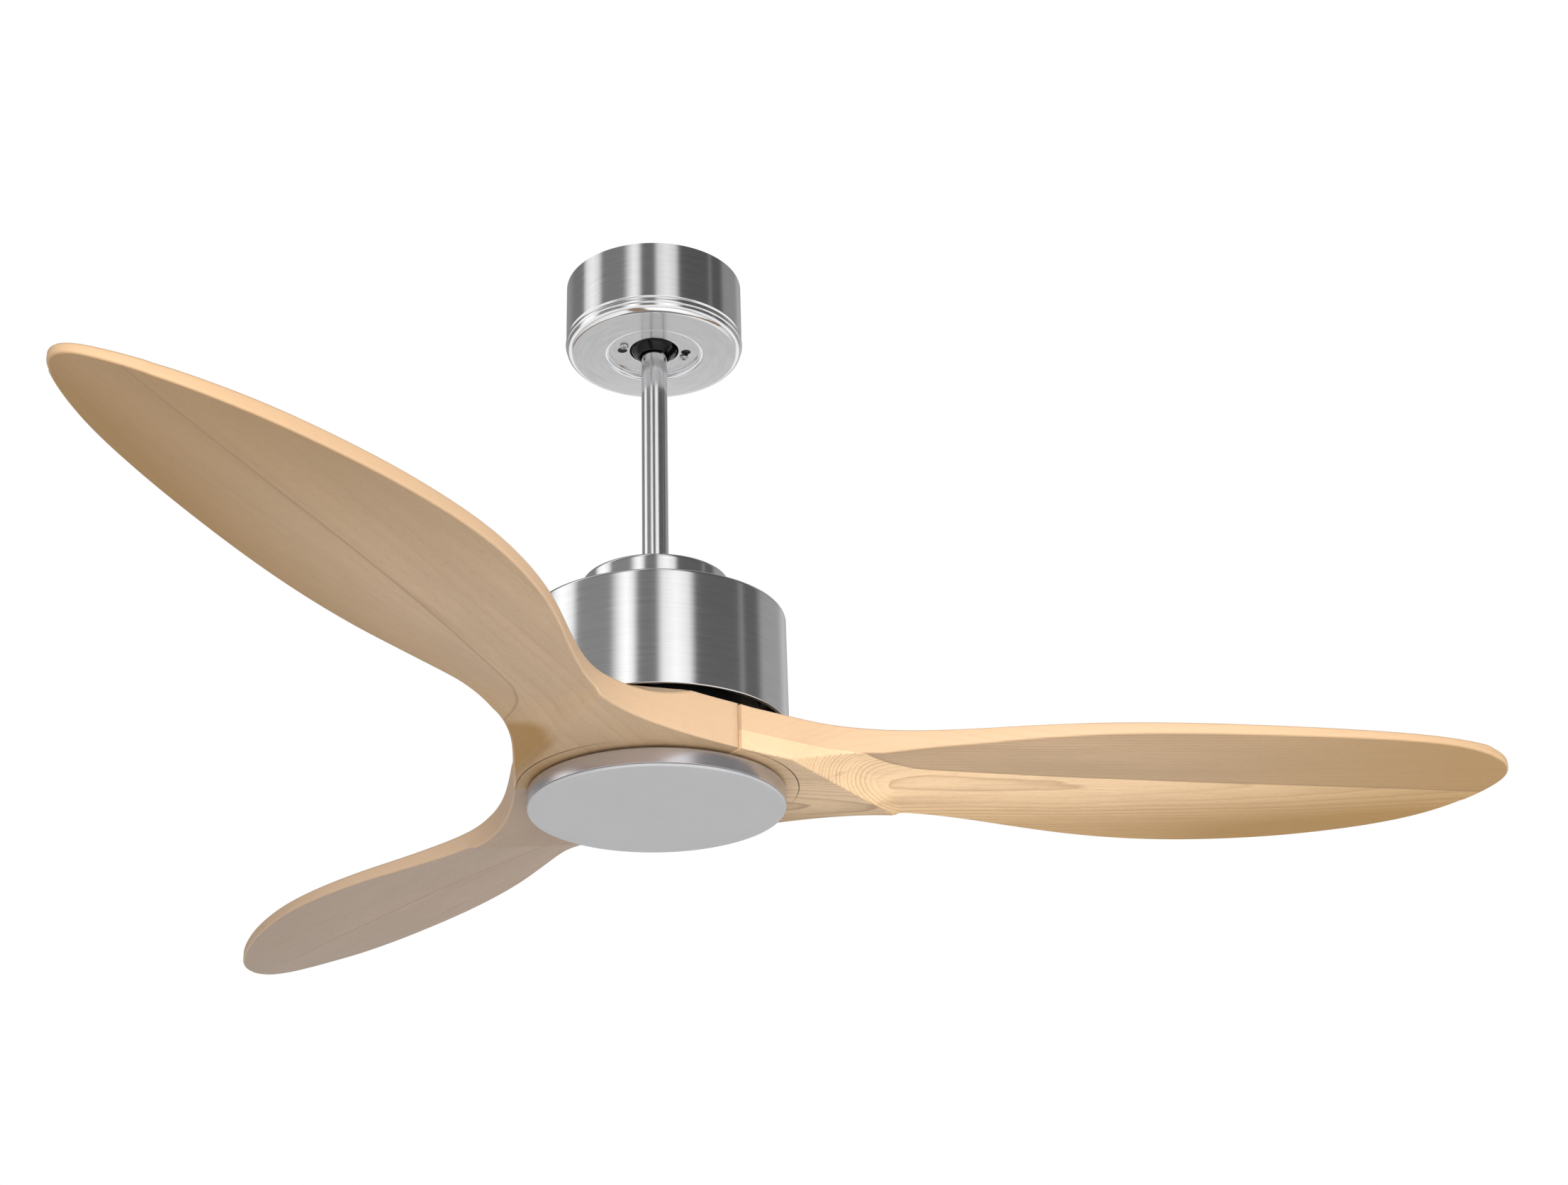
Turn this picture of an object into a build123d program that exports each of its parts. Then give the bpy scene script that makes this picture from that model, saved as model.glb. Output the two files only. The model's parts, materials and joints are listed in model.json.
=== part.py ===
from build123d import *
import math
import os

# A three-blade ceiling fan with a flat light below the hub.
# Millimetres, +Z up, origin in the ceiling plane on the fan's axis: everything hangs below z = 0.

os.makedirs("parts", exist_ok=True)

# ---- hanger and canopy -------------------------------------------------------------------
bracket_plate_r = 64.0
bracket_plate_t = 2.5
fixing_x = 47.0               # ceiling fixing holes at (+-fixing_x, +-fixing_y)
fixing_y = 13.0
fixing_hole_r = 2.75
wire_hole_r = 9.0             # supply cable hole through the bracket plate
wire_hole_y = 27.0
earth_screw_y = -46.0
leg_x = 30.0                  # inner face of each bracket leg
leg_t = 2.5
leg_w = 28.0
seat_top = -50.0              # seat ring that carries the ball
seat_bottom = -56.0
seat_r = 34.0
seat_gap = 0.3
seat_mouth_w = 24.0           # the rod enters the seat through this mouth
ball_r = 22.0
ball_z = -45.4
ball_top = -30.0
ball_bottom = -63.0
ball_mouth_r = 11.9
groove_az = -25.0             # registration groove of the ball, seen from above
groove_w = 9.0
tab_w = 6.0
tab_inner_r = 19.5            # how far the seat's tab reaches into the groove
groove_floor_r = 19.2
canopy_r = 71.0
canopy_top = -0.5
canopy_face = -62.1           # flat satin face
canopy_inner_r = 69.4
recess_face = -57.5           # stepped disc in the middle of that face
recess_r = 37.2
canopy_sheet = 1.2
canopy_hole_r = 19.8
keyhole_r = 25.7
keyhole_big_r = 3.9
keyhole_slot_r = 2.2
keyhole_screw_az = 20.0       # where the two canopy screws stand
keyhole_turn = 17.0           # from the locked end of a keyhole to its wide end
canopy_screw_r = 1.9
canopy_head_r = 3.4
canopy_head_h = 2.2
receiver_size = (54.0, 40.0, 15.0)
receiver_top = -3.5

# ---- rod, yoke and cover -----------------------------------------------------------------
rod_r = 10.3
rod_wall = 1.7
rod_top = -33.0
rod_bottom = -285.5
rod_fit = 0.05
ball_pin_r = 2.5
ball_pin_z = ball_z
yoke_r = 17.0
yoke_top = -270.0
yoke_pin_r = 3.0
yoke_pin_z = -277.0
yoke_screw_z = -281.0
yoke_flange_r = 40.0
yoke_flange_top = -301.3
yoke_flange_t = 4.0
shaft_r = 8.5
shaft_bore_r = 4.8
shaft_top = -290.0
shaft_bottom = -444.5
cap_r = 57.0
cap_top = -267.0
cap_bottom = -299.9
cap_hole_r = 10.8
sheet = 1.2
lead_r = 2.2
lead_offset = 5.5             # the lead passes beside the two cross pins

# ---- motor -------------------------------------------------------------------------------
housing_r = 99.5
housing_top = -300.0
housing_bottom = -391.0
housing_screw_pcr = 31.0
rotor_r = 78.0
rotor_inner_r = 75.0
rotor_top = -309.0
rotor_joint = -350.0
rotor_floor = -392.0
rotor_flange_r = 88.0
bearing_r = 20.0
bearing_h = 12.0
bearing_top_z = -311.0        # upper faces of the two bearings
bearing_low_z = -378.5
stator_r = 66.0
stator_core_r = 34.0
stator_mid = -350.0
stator_h = 24.0
pole_count = 12
magnet_r = 66.8
magnet_t = 4.0
plate_r = 88.0                # blade plate under the rotor
plate_top = -399.5
plate_bottom = -402.0
plate_boss_r = 50.0
plate_screw_pcr = 38.0

# ---- blades ------------------------------------------------------------------------------
blade_az = 4.4                # azimuth of the first blade; the others follow at 120 degrees
blank_top = -402.1            # the blades are carved from a blank between these two planes
blank_bottom = -436.0
hub_hole_r = 24.0
seam_gap = 0.1
blade_tip_r = 660.0
blade_screws = ((62.0, 0.0), (72.0, 34.0), (72.0, -34.0))
blade_screw_r = 2.5
blade_head_r = 4.6
counterbore_r = 8.0
counterbore_h = 8.0
nut_h = 4.0
# Outline of one blade, radius and distance to the side: trailing side, then leading side.
trailing_side = ((54, 91), (73, 80), (95, 69.5), (118, 60), (146, 51.5), (178, 47.5), (226, 54.5),
                 (311, 80.5), (367, 91.8), (418, 94.8), (464, 91), (505, 83.5), (541, 73.5), (599, 50), (638, 23))
leading_side = ((54, 91), (73, 80), (95, 68.5), (118, 57.5), (146, 49.8), (180, 47.3), (251, 58),
                (311, 68.3), (380, 72.8), (464, 70.5), (541, 64), (599, 53.5), (640, 37))
tip_offset = 11.0             # how far the tip lies towards the leading side
# Carved underside: radius, height on the blade's middle line, rise towards the leading edge per mm
# of width, and thickness of the blade there.
carving = ((60, -432, 0.07, 30), (115, -428.6, 0.102, 21.7), (185, -425.2, 0.178, 14.9),
           (251, -423.6, 0.170, 11.6), (311, -422.6, 0.156, 10.0), (418, -421.6, 0.154, 9.5),
           (505, -421.0, 0.172, 9.7), (573, -420.3, 0.200, 9.6), (621, -419.5, 0.230, 8.4),
           (670, -418.6, 0.250, 5.6))
crease_r = 148.0              # where the flat hub ends and the carving starts, on the middle line
crease_slant = 0.82           # how fast that line runs outwards, per mm towards the trailing side
cove_r = 62.0                 # the cove cut that leads from the hub face to the blade face
cove_rise = 15.0

# ---- light -------------------------------------------------------------------------------
light_r = 95.5
pan_top = -438.0
pan_bottom = -449.6
pan_wall = 1.5
locknut_r = 15.0
locknut_h = 5.0
board_r = 84.0
board_hole_r = 22.0
board_top = -440.7
board_t = 1.5
lens_top = -449.8
lens_bottom = -452.0
lens_edge = 1.7
lens_skirt_r = 92.4
lens_skirt_top = -443.8
lug_count = 3
lug_reach = 1.2
lug_h = 1.5
catch_turn = 12.0             # from the locked place of a lug to the gap between two catches


def turned(*outline):
    """Solid turned about the Z axis from (radius, z) corners."""
    return revolve(make_face(Plane.XZ * Polyline(*outline, close=True)), Axis.Z)


def disc(radius, top, bottom):
    """Round plate between two heights."""
    return Pos(0, 0, (top + bottom) / 2) * Cylinder(radius, top - bottom)


def ring(outer_r, inner_r, top, bottom):
    """Flat ring between two heights."""
    return disc(outer_r, top, bottom) - disc(inner_r, top + 1, bottom - 1)


def at(x, y):
    """A place in plan."""
    return Pos(x, y, 0)


def around(count, radius, first=0.0):
    """Places spread evenly round the axis, each turned to face outwards."""
    return [Rot(0, 0, first + 360 / count * i) * Pos(radius, 0, 0) for i in range(count)]


def save(name, *solids):
    """Write one named node; several solids are identical or belong together."""
    body = solids[0] if len(solids) == 1 else Compound(children=list(solids))
    export_step(body, f"parts/{name}.step")


def screw(head_r, head_h, shank_r, length, seat, up=1):
    """Screw on the Z axis: head below its seat when up is 1, above it when up is -1."""
    head = disc(head_r, seat, seat - head_h) if up == 1 else disc(head_r, seat + head_h, seat)
    shank = disc(shank_r, seat + length, seat - 0.01) if up == 1 else disc(shank_r, seat + 0.01, seat - length)
    face = seat - head_h * up
    cross = Pos(0, 0, face) * (Box(head_r * 1.1, head_r * 0.25, head_h) + Box(head_r * 0.25, head_r * 1.1, head_h))
    return head + shank - cross


def cross_bar(z, radius, length):
    """Round bar through the axis, at right angles to the ball's groove."""
    return Rot(0, 0, groove_az) * Pos(0, 0, z) * Rot(90, 0, 0) * Cylinder(radius, length)


def hexagon(across, top, bottom):
    """Hexagonal block, used for nuts."""
    return Pos(0, 0, bottom) * extrude(RegularPolygon(across / math.sqrt(3), 6), top - bottom)


# ==== hanger bracket ======================================================================
plate = disc(bracket_plate_r, 0, -bracket_plate_t)
for sx in (-1, 1):
    for sy in (-1, 1):
        plate -= at(sx * fixing_x, sy * fixing_y) * disc(fixing_hole_r, 1, -bracket_plate_t - 1)
plate -= at(0, wire_hole_y) * disc(wire_hole_r, 1, -bracket_plate_t - 1)
plate -= at(0, earth_screw_y) * disc(2.02, 1, -bracket_plate_t - 1)
leg_height = -bracket_plate_t - seat_top
legs = Pos(leg_x + leg_t / 2, 0, seat_top + leg_height / 2) * Box(leg_t, leg_w, leg_height)
legs += mirror(legs, Plane.YZ)
shelf_w = 16.0
shelf_z = receiver_top - receiver_size[2]
for sx in (-1, 1):
    legs += Pos(sx * 28, 0, shelf_z - 0.6) * Box(4.2, shelf_w, 1.2)
seat = ring(seat_r, 12, seat_top, seat_bottom)
seat -= Pos(0, 0, ball_z) * Sphere(ball_r + seat_gap)
tab_r = 22.5
tab = Rot(0, 0, groove_az) * Pos((tab_inner_r + tab_r) / 2, 0, (seat_top + seat_bottom) / 2)
seat += tab * Box(tab_r - tab_inner_r, tab_w, seat_top - seat_bottom)
seat -= Pos(0, seat_r, (seat_top + seat_bottom) / 2) * Box(seat_mouth_w, 2 * seat_r, 10)
for place in around(2, keyhole_r, keyhole_screw_az):
    seat -= place * disc(canopy_screw_r + 0.02, seat_top + 1, seat_bottom - 1)
bracket = plate + legs + seat
save("ceiling_bracket", bracket)

earth_screw = at(0, earth_screw_y) * screw(3.6, 2.4, 2.0, bracket_plate_t - 0.2, -bracket_plate_t)
save("earth_screw", earth_screw)

receiver = Pos(0, 0, receiver_top - receiver_size[2] / 2) * Box(*receiver_size)
receiver = fillet(receiver.edges().filter_by(Axis.Z), 3)
save("receiver_box", receiver)

block_size = (34.0, 14.0, 12.0)
block = Pos(0, 45, -bracket_plate_t - block_size[2] / 2) * Box(*block_size)
block_screws = []
for i in range(3):
    x = (i - 1) * 10
    block -= at(x, 45) * disc(2.4, -8.0, -20.0)
    block_screws.append(at(x, 45) * disc(2.2, -8.2, -12.0))
save("terminal_block", block)
save("terminal_screws", *block_screws)

# ==== canopy ==============================================================================
canopy_line = [
    Line((0, canopy_top), (canopy_r, canopy_top)),
    Line((canopy_r, canopy_top), (canopy_r, -49.5)),
    Line((canopy_r, -49.5), (canopy_r - 0.9, -50.7)),
    Line((canopy_r - 0.9, -50.7), (canopy_r - 0.9, -51.5)),
    ThreePointArc((canopy_r - 0.9, -51.5), (canopy_r + 0.4, -53.6), (canopy_r - 0.4, -55.8)),
    ThreePointArc((canopy_r - 0.4, -55.8), (canopy_r - 1.9, -60.1), (65.8, canopy_face)),
    Line((65.8, canopy_face), (recess_r + 2.6, canopy_face)),
    ThreePointArc((recess_r + 2.6, canopy_face), (recess_r + 0.7, -61.4), (recess_r, -59.4)),
    Line((recess_r, -59.4), (recess_r, recess_face)),
    Line((recess_r, recess_face), (0, recess_face)),
    Line((0, recess_face), (0, canopy_top)),
]
canopy = revolve(make_face(Plane.XZ * Wire(canopy_line)), Axis.Z)
canopy_inside = turned((0, 1), (canopy_inner_r, 1), (canopy_inner_r, -56.2), (65.2, canopy_face + canopy_sheet),
                       (recess_r + 1.3, canopy_face + canopy_sheet),
                       (recess_r + 1.3, recess_face + canopy_sheet), (0, recess_face + canopy_sheet))
canopy -= canopy_inside
canopy -= disc(canopy_hole_r, recess_face + 5, recess_face - 5)
keyhole_cut = disc(keyhole_big_r, recess_face + 5, recess_face - 5)
wide_az = keyhole_screw_az - keyhole_turn
for place in around(2, keyhole_r, wide_az):
    canopy -= place * keyhole_cut
slot_arc = CenterArc((0, 0), keyhole_r, wide_az, keyhole_turn)
keyhole_slot = Pos(0, 0, recess_face - 1) * extrude(SlotArc(slot_arc, 2 * keyhole_slot_r), 4)
for turn in (0, 180):
    canopy -= Rot(0, 0, turn) * keyhole_slot
save("canopy", canopy)

canopy_screw = screw(canopy_head_r, canopy_head_h, canopy_screw_r, 8.4, recess_face - 0.2)
save("canopy_screws", *[place * canopy_screw for place in around(2, keyhole_r, keyhole_screw_az)])

# ==== hanger ball and rod =================================================================
ball = Pos(0, 0, ball_z) * Sphere(ball_r)
ball &= disc(ball_r + 1, ball_top, ball_bottom)
ball -= disc(rod_r + rod_fit, ball_top + 1, ball_bottom - 1)
ball -= disc(ball_mouth_r, ball_bottom + 4, ball_bottom - 1)
ball -= cross_bar(ball_pin_z, ball_pin_r + 0.02, 60)
groove = Pos(groove_floor_r, 0, ball_z) * Box(2 * groove_floor_r, groove_w, 60)
groove -= Pos(0, 0, ball_z) * Rot(90, 0, 0) * Cylinder(groove_floor_r, 20)
ball -= Rot(0, 0, groove_az) * groove
save("hanger_ball", ball)

save("ball_pin", cross_bar(ball_pin_z, ball_pin_r, 38))

rod = ring(rod_r, rod_r - rod_wall, rod_top, rod_bottom)
rod -= cross_bar(ball_pin_z, ball_pin_r + 0.02, 60)
rod -= cross_bar(yoke_pin_z, yoke_pin_r + 0.02, 60)
save("downrod", rod)

# ==== yoke, shaft and cover ===============================================================
yoke_pin_length = 43.0
collar = disc(yoke_r, yoke_top, yoke_flange_top) - disc(rod_r + rod_fit, yoke_top + 1, rod_bottom - 0.5)
yoke = collar + disc(yoke_flange_r, yoke_flange_top, yoke_flange_top - yoke_flange_t)
yoke -= disc(shaft_r + 0.02, rod_bottom, yoke_flange_top - yoke_flange_t - 1)
yoke -= cross_bar(yoke_pin_z, yoke_pin_r + 0.02, 60)
yoke -= Rot(0, 0, groove_az) * Pos(0, 0, yoke_screw_z) * Rot(0, 90, 0) * Cylinder(2.5, 60)
for place in around(4, housing_screw_pcr, 45):
    yoke -= place * disc(2.02, yoke_flange_top + 1, yoke_flange_top - yoke_flange_t - 1)
save("yoke", yoke)

set_screws = []
for side in (0, 180):
    grub = Pos((rod_r + yoke_r) / 2 + 0.6, 0, yoke_screw_z) * Rot(0, 90, 0) * Cylinder(2.45, yoke_r - rod_r)
    socket = Pos(yoke_r, 0, yoke_screw_z) * Rot(0, 90, 0) * extrude(RegularPolygon(1.3, 6), 3)
    set_screws.append(Rot(0, 0, groove_az + side) * (grub - socket))
save("yoke_set_screws", *set_screws)

clevis_pin = cross_bar(yoke_pin_z, yoke_pin_r, yoke_pin_length)
pin_head = Pos(0, yoke_pin_length / 2, yoke_pin_z) * Rot(90, 0, 0) * Cylinder(5, 2)
clip_y = -(yoke_r + 1.6)
clip_hole = Pos(0, clip_y, yoke_pin_z) * Cylinder(0.9, 20)
clevis_pin = clevis_pin + Rot(0, 0, groove_az) * pin_head - Rot(0, 0, groove_az) * clip_hole
save("clevis_pin", clevis_pin)

clip_leg = Pos(0, clip_y, yoke_pin_z) * Cylinder(0.8, 12)
clip_eye = Pos(0, clip_y - 1.6, yoke_pin_z - 7.6) * Rot(0, 90, 0) * Torus(2.4, 0.8)
save("pin_clip", Rot(0, 0, groove_az) * (clip_leg + clip_eye))

shaft = ring(shaft_r, shaft_bore_r, shaft_top, shaft_bottom)
save("motor_shaft", shaft)

cap = revolve(make_face(Plane.XZ * Wire([
    Line((0, cap_top), (cap_r - 2.5, cap_top)),
    ThreePointArc((cap_r - 2.5, cap_top), (cap_r - 0.73, cap_top - 0.73), (cap_r, cap_top - 2.5)),
    Line((cap_r, cap_top - 2.5), (cap_r, cap_bottom)),
    Line((cap_r, cap_bottom), (0, cap_bottom)),
    Line((0, cap_bottom), (0, cap_top)),
])), Axis.Z)
cap -= disc(cap_r - sheet, cap_top - 3.5, cap_bottom - 1)
cap -= disc(cap_r - 3.5, cap_top - sheet, cap_bottom - 1)
cap -= disc(cap_hole_r, cap_top + 1, cap_bottom)
save("coupling_cap", cap)

# ==== motor housing =======================================================================
housing = revolve(make_face(Plane.XZ * Wire([
    Line((0, housing_top), (housing_r - 2.5, housing_top)),
    ThreePointArc((housing_r - 2.5, housing_top), (housing_r - 0.73, housing_top - 0.73),
                  (housing_r, housing_top - 2.5)),
    Line((housing_r, housing_top - 2.5), (housing_r, housing_bottom + 1.2)),
    ThreePointArc((housing_r, housing_bottom + 1.2), (housing_r - 0.35, housing_bottom + 0.35),
                  (housing_r - 1.2, housing_bottom)),
    Line((housing_r - 1.2, housing_bottom), (0, housing_bottom)),
    Line((0, housing_bottom), (0, housing_top)),
])), Axis.Z)
housing -= disc(housing_r - sheet, housing_top - 4, housing_bottom + 1.2)
housing -= disc(housing_r - 4, housing_top - sheet, housing_bottom + 1.2)
housing -= disc(housing_r - 2.8, housing_bottom + 2, housing_bottom - 1)
housing -= disc(yoke_r + 0.6, housing_top + 1, housing_top - 3)
for place in around(4, housing_screw_pcr, 45):
    housing -= place * disc(2.3, housing_top + 1, housing_top - 3)
save("motor_housing", housing)
housing_screw = screw(4.0, 2.4, 2.0, 6.0, housing_top, up=-1)
save("housing_screws", *[place * housing_screw for place in around(4, housing_screw_pcr, 45)])

# ==== motor, fixed half ===================================================================
core = ring(stator_core_r, shaft_r + 0.02, stator_mid + stator_h / 2, stator_mid - stator_h / 2)
for place in around(6, 22, 15):
    core -= place * disc(5.5, stator_mid + stator_h, stator_mid - stator_h)
pole = Pos(stator_core_r + 13, 0, stator_mid) * Box(30, 9, stator_h)
tooth_tips = ring(stator_r, stator_r - 5, stator_mid + stator_h / 2, stator_mid - stator_h / 2)
tip_sector = Pos(stator_r - 2.5, 0, stator_mid) * Box(12, 26, stator_h + 2)
pole_tip = tooth_tips & tip_sector
for i in range(pole_count):
    core += Rot(0, 0, 360 / pole_count * i) * (pole + pole_tip)
save("stator_core", core)

coil = Pos(stator_core_r + 13, 0, stator_mid) * Box(20, 16, stator_h + 8)
coil -= Pos(stator_core_r + 13, 0, stator_mid) * Box(24, 9.4, stator_h + 0.6)
coil = fillet(coil.edges().filter_by(Axis.X).sort_by(lambda e: abs(e.center().Y) + abs(e.center().Z - stator_mid))[-4:], 3)
save("stator_windings", *[Rot(0, 0, 360 / pole_count * i) * coil for i in range(pole_count)])

# ==== motor, turning half =================================================================
for name, top in (("upper_bearing", bearing_top_z), ("lower_bearing", bearing_low_z)):
    bearing = ring(bearing_r, shaft_r + 0.05, top, top - bearing_h)
    for shield_top in (top + 1, top - bearing_h + 0.6):
        bearing -= ring(bearing_r - 2.6, shaft_r + 2.6, shield_top, shield_top - 1.6)
    save(name, bearing)

upper_cover = turned((shaft_r + 3, rotor_top), (rotor_r - 3, rotor_top), (rotor_r, rotor_top - 3),
                     (rotor_r, rotor_joint), (rotor_inner_r, rotor_joint), (rotor_inner_r, rotor_top - 5),
                     (bearing_r + 4, rotor_top - 4), (bearing_r + 4, bearing_top_z - bearing_h),
                     (bearing_r, bearing_top_z - bearing_h), (bearing_r, bearing_top_z),
                     (shaft_r + 3, bearing_top_z))
upper_cover += ring(rotor_flange_r, rotor_inner_r, rotor_joint + 4, rotor_joint)
cone_r = 56.0
lower_cover = turned((bearing_r, bearing_low_z), (bearing_r + 5, bearing_low_z), (bearing_r + 5, rotor_floor + 4),
                     (cone_r - 1, rotor_floor + 4), (rotor_inner_r, rotor_joint - 22),
                     (rotor_inner_r, rotor_joint), (rotor_r, rotor_joint), (rotor_r, rotor_joint - 24),
                     (cone_r + 1, rotor_floor), (plate_boss_r, rotor_floor), (plate_boss_r, plate_top),
                     (shaft_r + 3, plate_top), (shaft_r + 3, bearing_low_z - bearing_h),
                     (bearing_r, bearing_low_z - bearing_h))
lower_cover += ring(rotor_flange_r, rotor_inner_r, rotor_joint, rotor_joint - 4)
rotor_bolt_pcr = 83.0
for place in around(6, rotor_bolt_pcr):
    upper_cover -= place * disc(1.8, rotor_joint + 6, rotor_joint - 1)
    lower_cover -= place * disc(1.8, rotor_joint + 1, rotor_joint - 6)
for place in around(6, plate_screw_pcr, 30):
    lower_cover -= place * disc(2.02, rotor_floor + 6, plate_top - 1)
save("rotor_upper_cover", upper_cover)
save("rotor_lower_cover", lower_cover)
rotor_bolt = screw(3.2, 2.2, 1.75, 8.0, rotor_joint - 4)
save("rotor_bolts", *[place * rotor_bolt for place in around(6, rotor_bolt_pcr)])

back_iron = ring(rotor_inner_r, magnet_r + magnet_t, stator_mid + 15, stator_mid - 15)
save("rotor_back_iron", back_iron)
magnet = ring(magnet_r + magnet_t, magnet_r, stator_mid + 13, stator_mid - 13)
magnet_gap = Pos(magnet_r + magnet_t / 2, 0, stator_mid) * Box(8, 1.2, 30)
magnet_count = 14
for place in around(magnet_count, 0, 0):
    magnet -= place * magnet_gap
save("rotor_magnets", *magnet.solids())

blade_plate = ring(plate_r, shaft_r + 3, plate_top, plate_bottom)
for place in around(6, plate_screw_pcr, 30):
    blade_plate -= place * disc(2.3, plate_top + 1, plate_bottom - 1)
    blade_plate -= place * Pos(0, 0, plate_bottom + 0.9) * Cone(4.6, 2.8, 1.8)
blade_places = [Rot(0, 0, blade_az - 120 * i) for i in range(3)]
for turn in blade_places:
    for x, y in blade_screws:
        blade_plate -= turn * at(x, y) * disc(blade_screw_r + 0.05, plate_top + 1, plate_bottom - 1)
save("blade_plate", blade_plate)
plate_screw = disc(1.98, plate_top + 9, plate_bottom + 0.02) + Pos(0, 0, plate_bottom + 0.91) * Cone(4.5, 2.7, 1.78)
save("plate_screws", *[place * plate_screw for place in around(6, plate_screw_pcr, 30)])

# ==== blades ==============================================================================
def section(radius, middle, rise, thickness, side):
    """Cross-section of what is carved away: below the blade (side -1) or above it (side 1)."""
    half = 135.0
    limit = blank_bottom - 30 if side < 0 else blank_top + 30
    lift = 0 if side < 0 else thickness
    edge_low = middle - rise * half + lift
    edge_high = middle + rise * half + lift
    corners = [(radius, half, edge_low), (radius, -half, edge_high), (radius, -half, limit), (radius, half, limit)]
    return make_face(Polyline(*corners, close=True))


def cove(face_z, side):
    """Everything outboard of the crease, below or above the cove that starts on the hub's face."""
    sweep = math.sqrt(2 * cove_r * cove_rise - cove_rise ** 2)
    top = face_z - side * cove_rise
    corners = Wire([
        Line((0, face_z), (0, face_z + side * 30)),
        Line((0, face_z + side * 30), (620, face_z + side * 30)),
        Line((620, face_z + side * 30), (620, face_z - side * 130)),
        Line((620, face_z - side * 130), (sweep, top)),
        RadiusArc((sweep, top), (0, face_z), cove_r * side),
    ])
    lean = math.degrees(math.atan(crease_slant)) * side
    solid = extrude(make_face(Plane.XZ * corners), 560, both=True)
    return Pos(crease_r, 0, 0) * Rot(0, 0, lean) * solid


outline = [
    Spline(*[(x, y) for x, y in trailing_side], (653, 6), (blade_tip_r, -tip_offset), (655, -25),
           *[(x, -y) for x, y in reversed(leading_side)]),
    Line((leading_side[0][0], -leading_side[0][1]), (0, 0)),
    Line((0, 0), trailing_side[0]),
]
blank = Pos(0, 0, blank_bottom) * extrude(make_face(Wire(outline)), blank_top - blank_bottom)
under = loft([section(*station, -1) for station in carving])
over = loft([section(*station, 1) for station in carving])
blade = blank - (under & cove(blank_bottom, -1)) - (over & cove(blank_top, 1))
for side in (-1, 1):
    blade -= Rot(0, 0, 60 * side) * Pos(60, side * (50 - seam_gap), blank_bottom) * Box(400, 100, 120)
blade -= disc(hub_hole_r, blank_top + 1, blank_bottom - 1)
for x, y in blade_screws:
    blade -= at(x, y) * disc(blade_screw_r + 0.3, blank_top + 1, blank_bottom - 1)
    blade -= at(x, y) * disc(counterbore_r, blank_bottom + counterbore_h, blank_bottom - 1)
for i, turn in enumerate(blade_places):
    save(f"blade_{i + 1}", turn * blade)

washer_top = blank_bottom + counterbore_h
washer_t = 1.2
washer = ring(counterbore_r - 0.8, blade_screw_r + 0.3, washer_top, washer_top - washer_t)
blade_screw = screw(blade_head_r, 3.2, blade_screw_r, plate_top + nut_h + 1 - washer_top + washer_t,
                    washer_top - washer_t)
blade_nut = hexagon(8.0, plate_top + nut_h, plate_top) - disc(blade_screw_r + 0.02, plate_top + 5, plate_top - 1)
screw_places = [turn * at(x, y) for turn in blade_places for x, y in blade_screws]
save("blade_washers", *[place * washer for place in screw_places])
save("blade_screws", *[place * blade_screw for place in screw_places])
save("blade_nuts", *[place * blade_nut for place in screw_places])

# ==== light ===============================================================================
pan = disc(light_r, pan_top, pan_bottom)
pan = chamfer(pan.edges().group_by(Axis.Z)[-1], 0.6)
pan -= disc(light_r - pan_wall, pan_top - pan_wall, pan_bottom - 1)
pan -= disc(shaft_r + 0.05, pan_top + 1, pan_bottom - 1)
catch_top = lens_skirt_top + 0.6 - lug_h - 0.3
catch_w = 16.0
catch = ring(light_r - pan_wall + 0.2, lens_skirt_r + 0.3, catch_top, catch_top - 1.2)
catch &= Pos(light_r, 0, catch_top) * Box(30, catch_w, 6)
board_screw_r = 60.0
pads = []
for place in around(3, board_screw_r, 60):
    pads.append(place * disc(4, pan_top - pan_wall + 0.05, board_top))
for place in around(lug_count, 0, 0):
    pan += place * catch
for pad in pads:
    pan += pad
for place in around(3, board_screw_r, 60):
    pan -= place * disc(1.5, board_top + 1.4, board_top - 1)
save("light_pan", pan)

locknuts = []
for top in (pan_top + locknut_h, pan_top - pan_wall):
    nut = hexagon(2 * locknut_r * 0.9, top, top - locknut_h) - disc(shaft_r + 0.02, top + 1, top - locknut_h - 1)
    locknuts.append(nut)
save("shaft_locknuts", *locknuts)

board = ring(board_r, board_hole_r, board_top, board_top - board_t)
for place in around(3, board_screw_r, 60):
    board -= place * disc(1.7, board_top + 1, board_top - board_t - 1)
save("led_board", board)
board_screw = screw(2.8, 1.6, 1.45, board_t + 1.2, board_top - board_t)
save("board_screws", *[place * board_screw for place in around(3, board_screw_r, 60)])
chip_top = board_top - board_t
chips = []
for count, radius in ((12, 36), (18, 52), (24, 70)):
    for place in around(count, radius, 360 / count / 2):
        chips.append(place * Pos(0, 0, chip_top - 0.4) * Box(2.8, 3.5, 0.8))
save("led_chips", *chips)
plug_x = 29.0
plug_h = 3.0
light_plug = Pos(plug_x, 0, chip_top - plug_h / 2) * Box(6, 9, plug_h)
save("light_plug", Rot(0, 0, groove_az) * light_plug)

route = FilletPolyline((lead_offset, 0, -29.0), (lead_offset, 0, -279.5), (1.9, 0, -291.5), (1.9, 0, -447.3),
                       (plug_x, 0, -447.3), (plug_x, 0, chip_top - plug_h), radius=1.0)
lead = sweep(Plane(route @ 0, z_dir=route % 0) * Circle(lead_r), path=route)
save("power_lead", Rot(0, 0, groove_az) * lead)
lead_plug = Pos(lead_offset, 0, -26.0) * Box(7, 10, 6)
save("lead_plug", Rot(0, 0, groove_az) * lead_plug)

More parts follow.
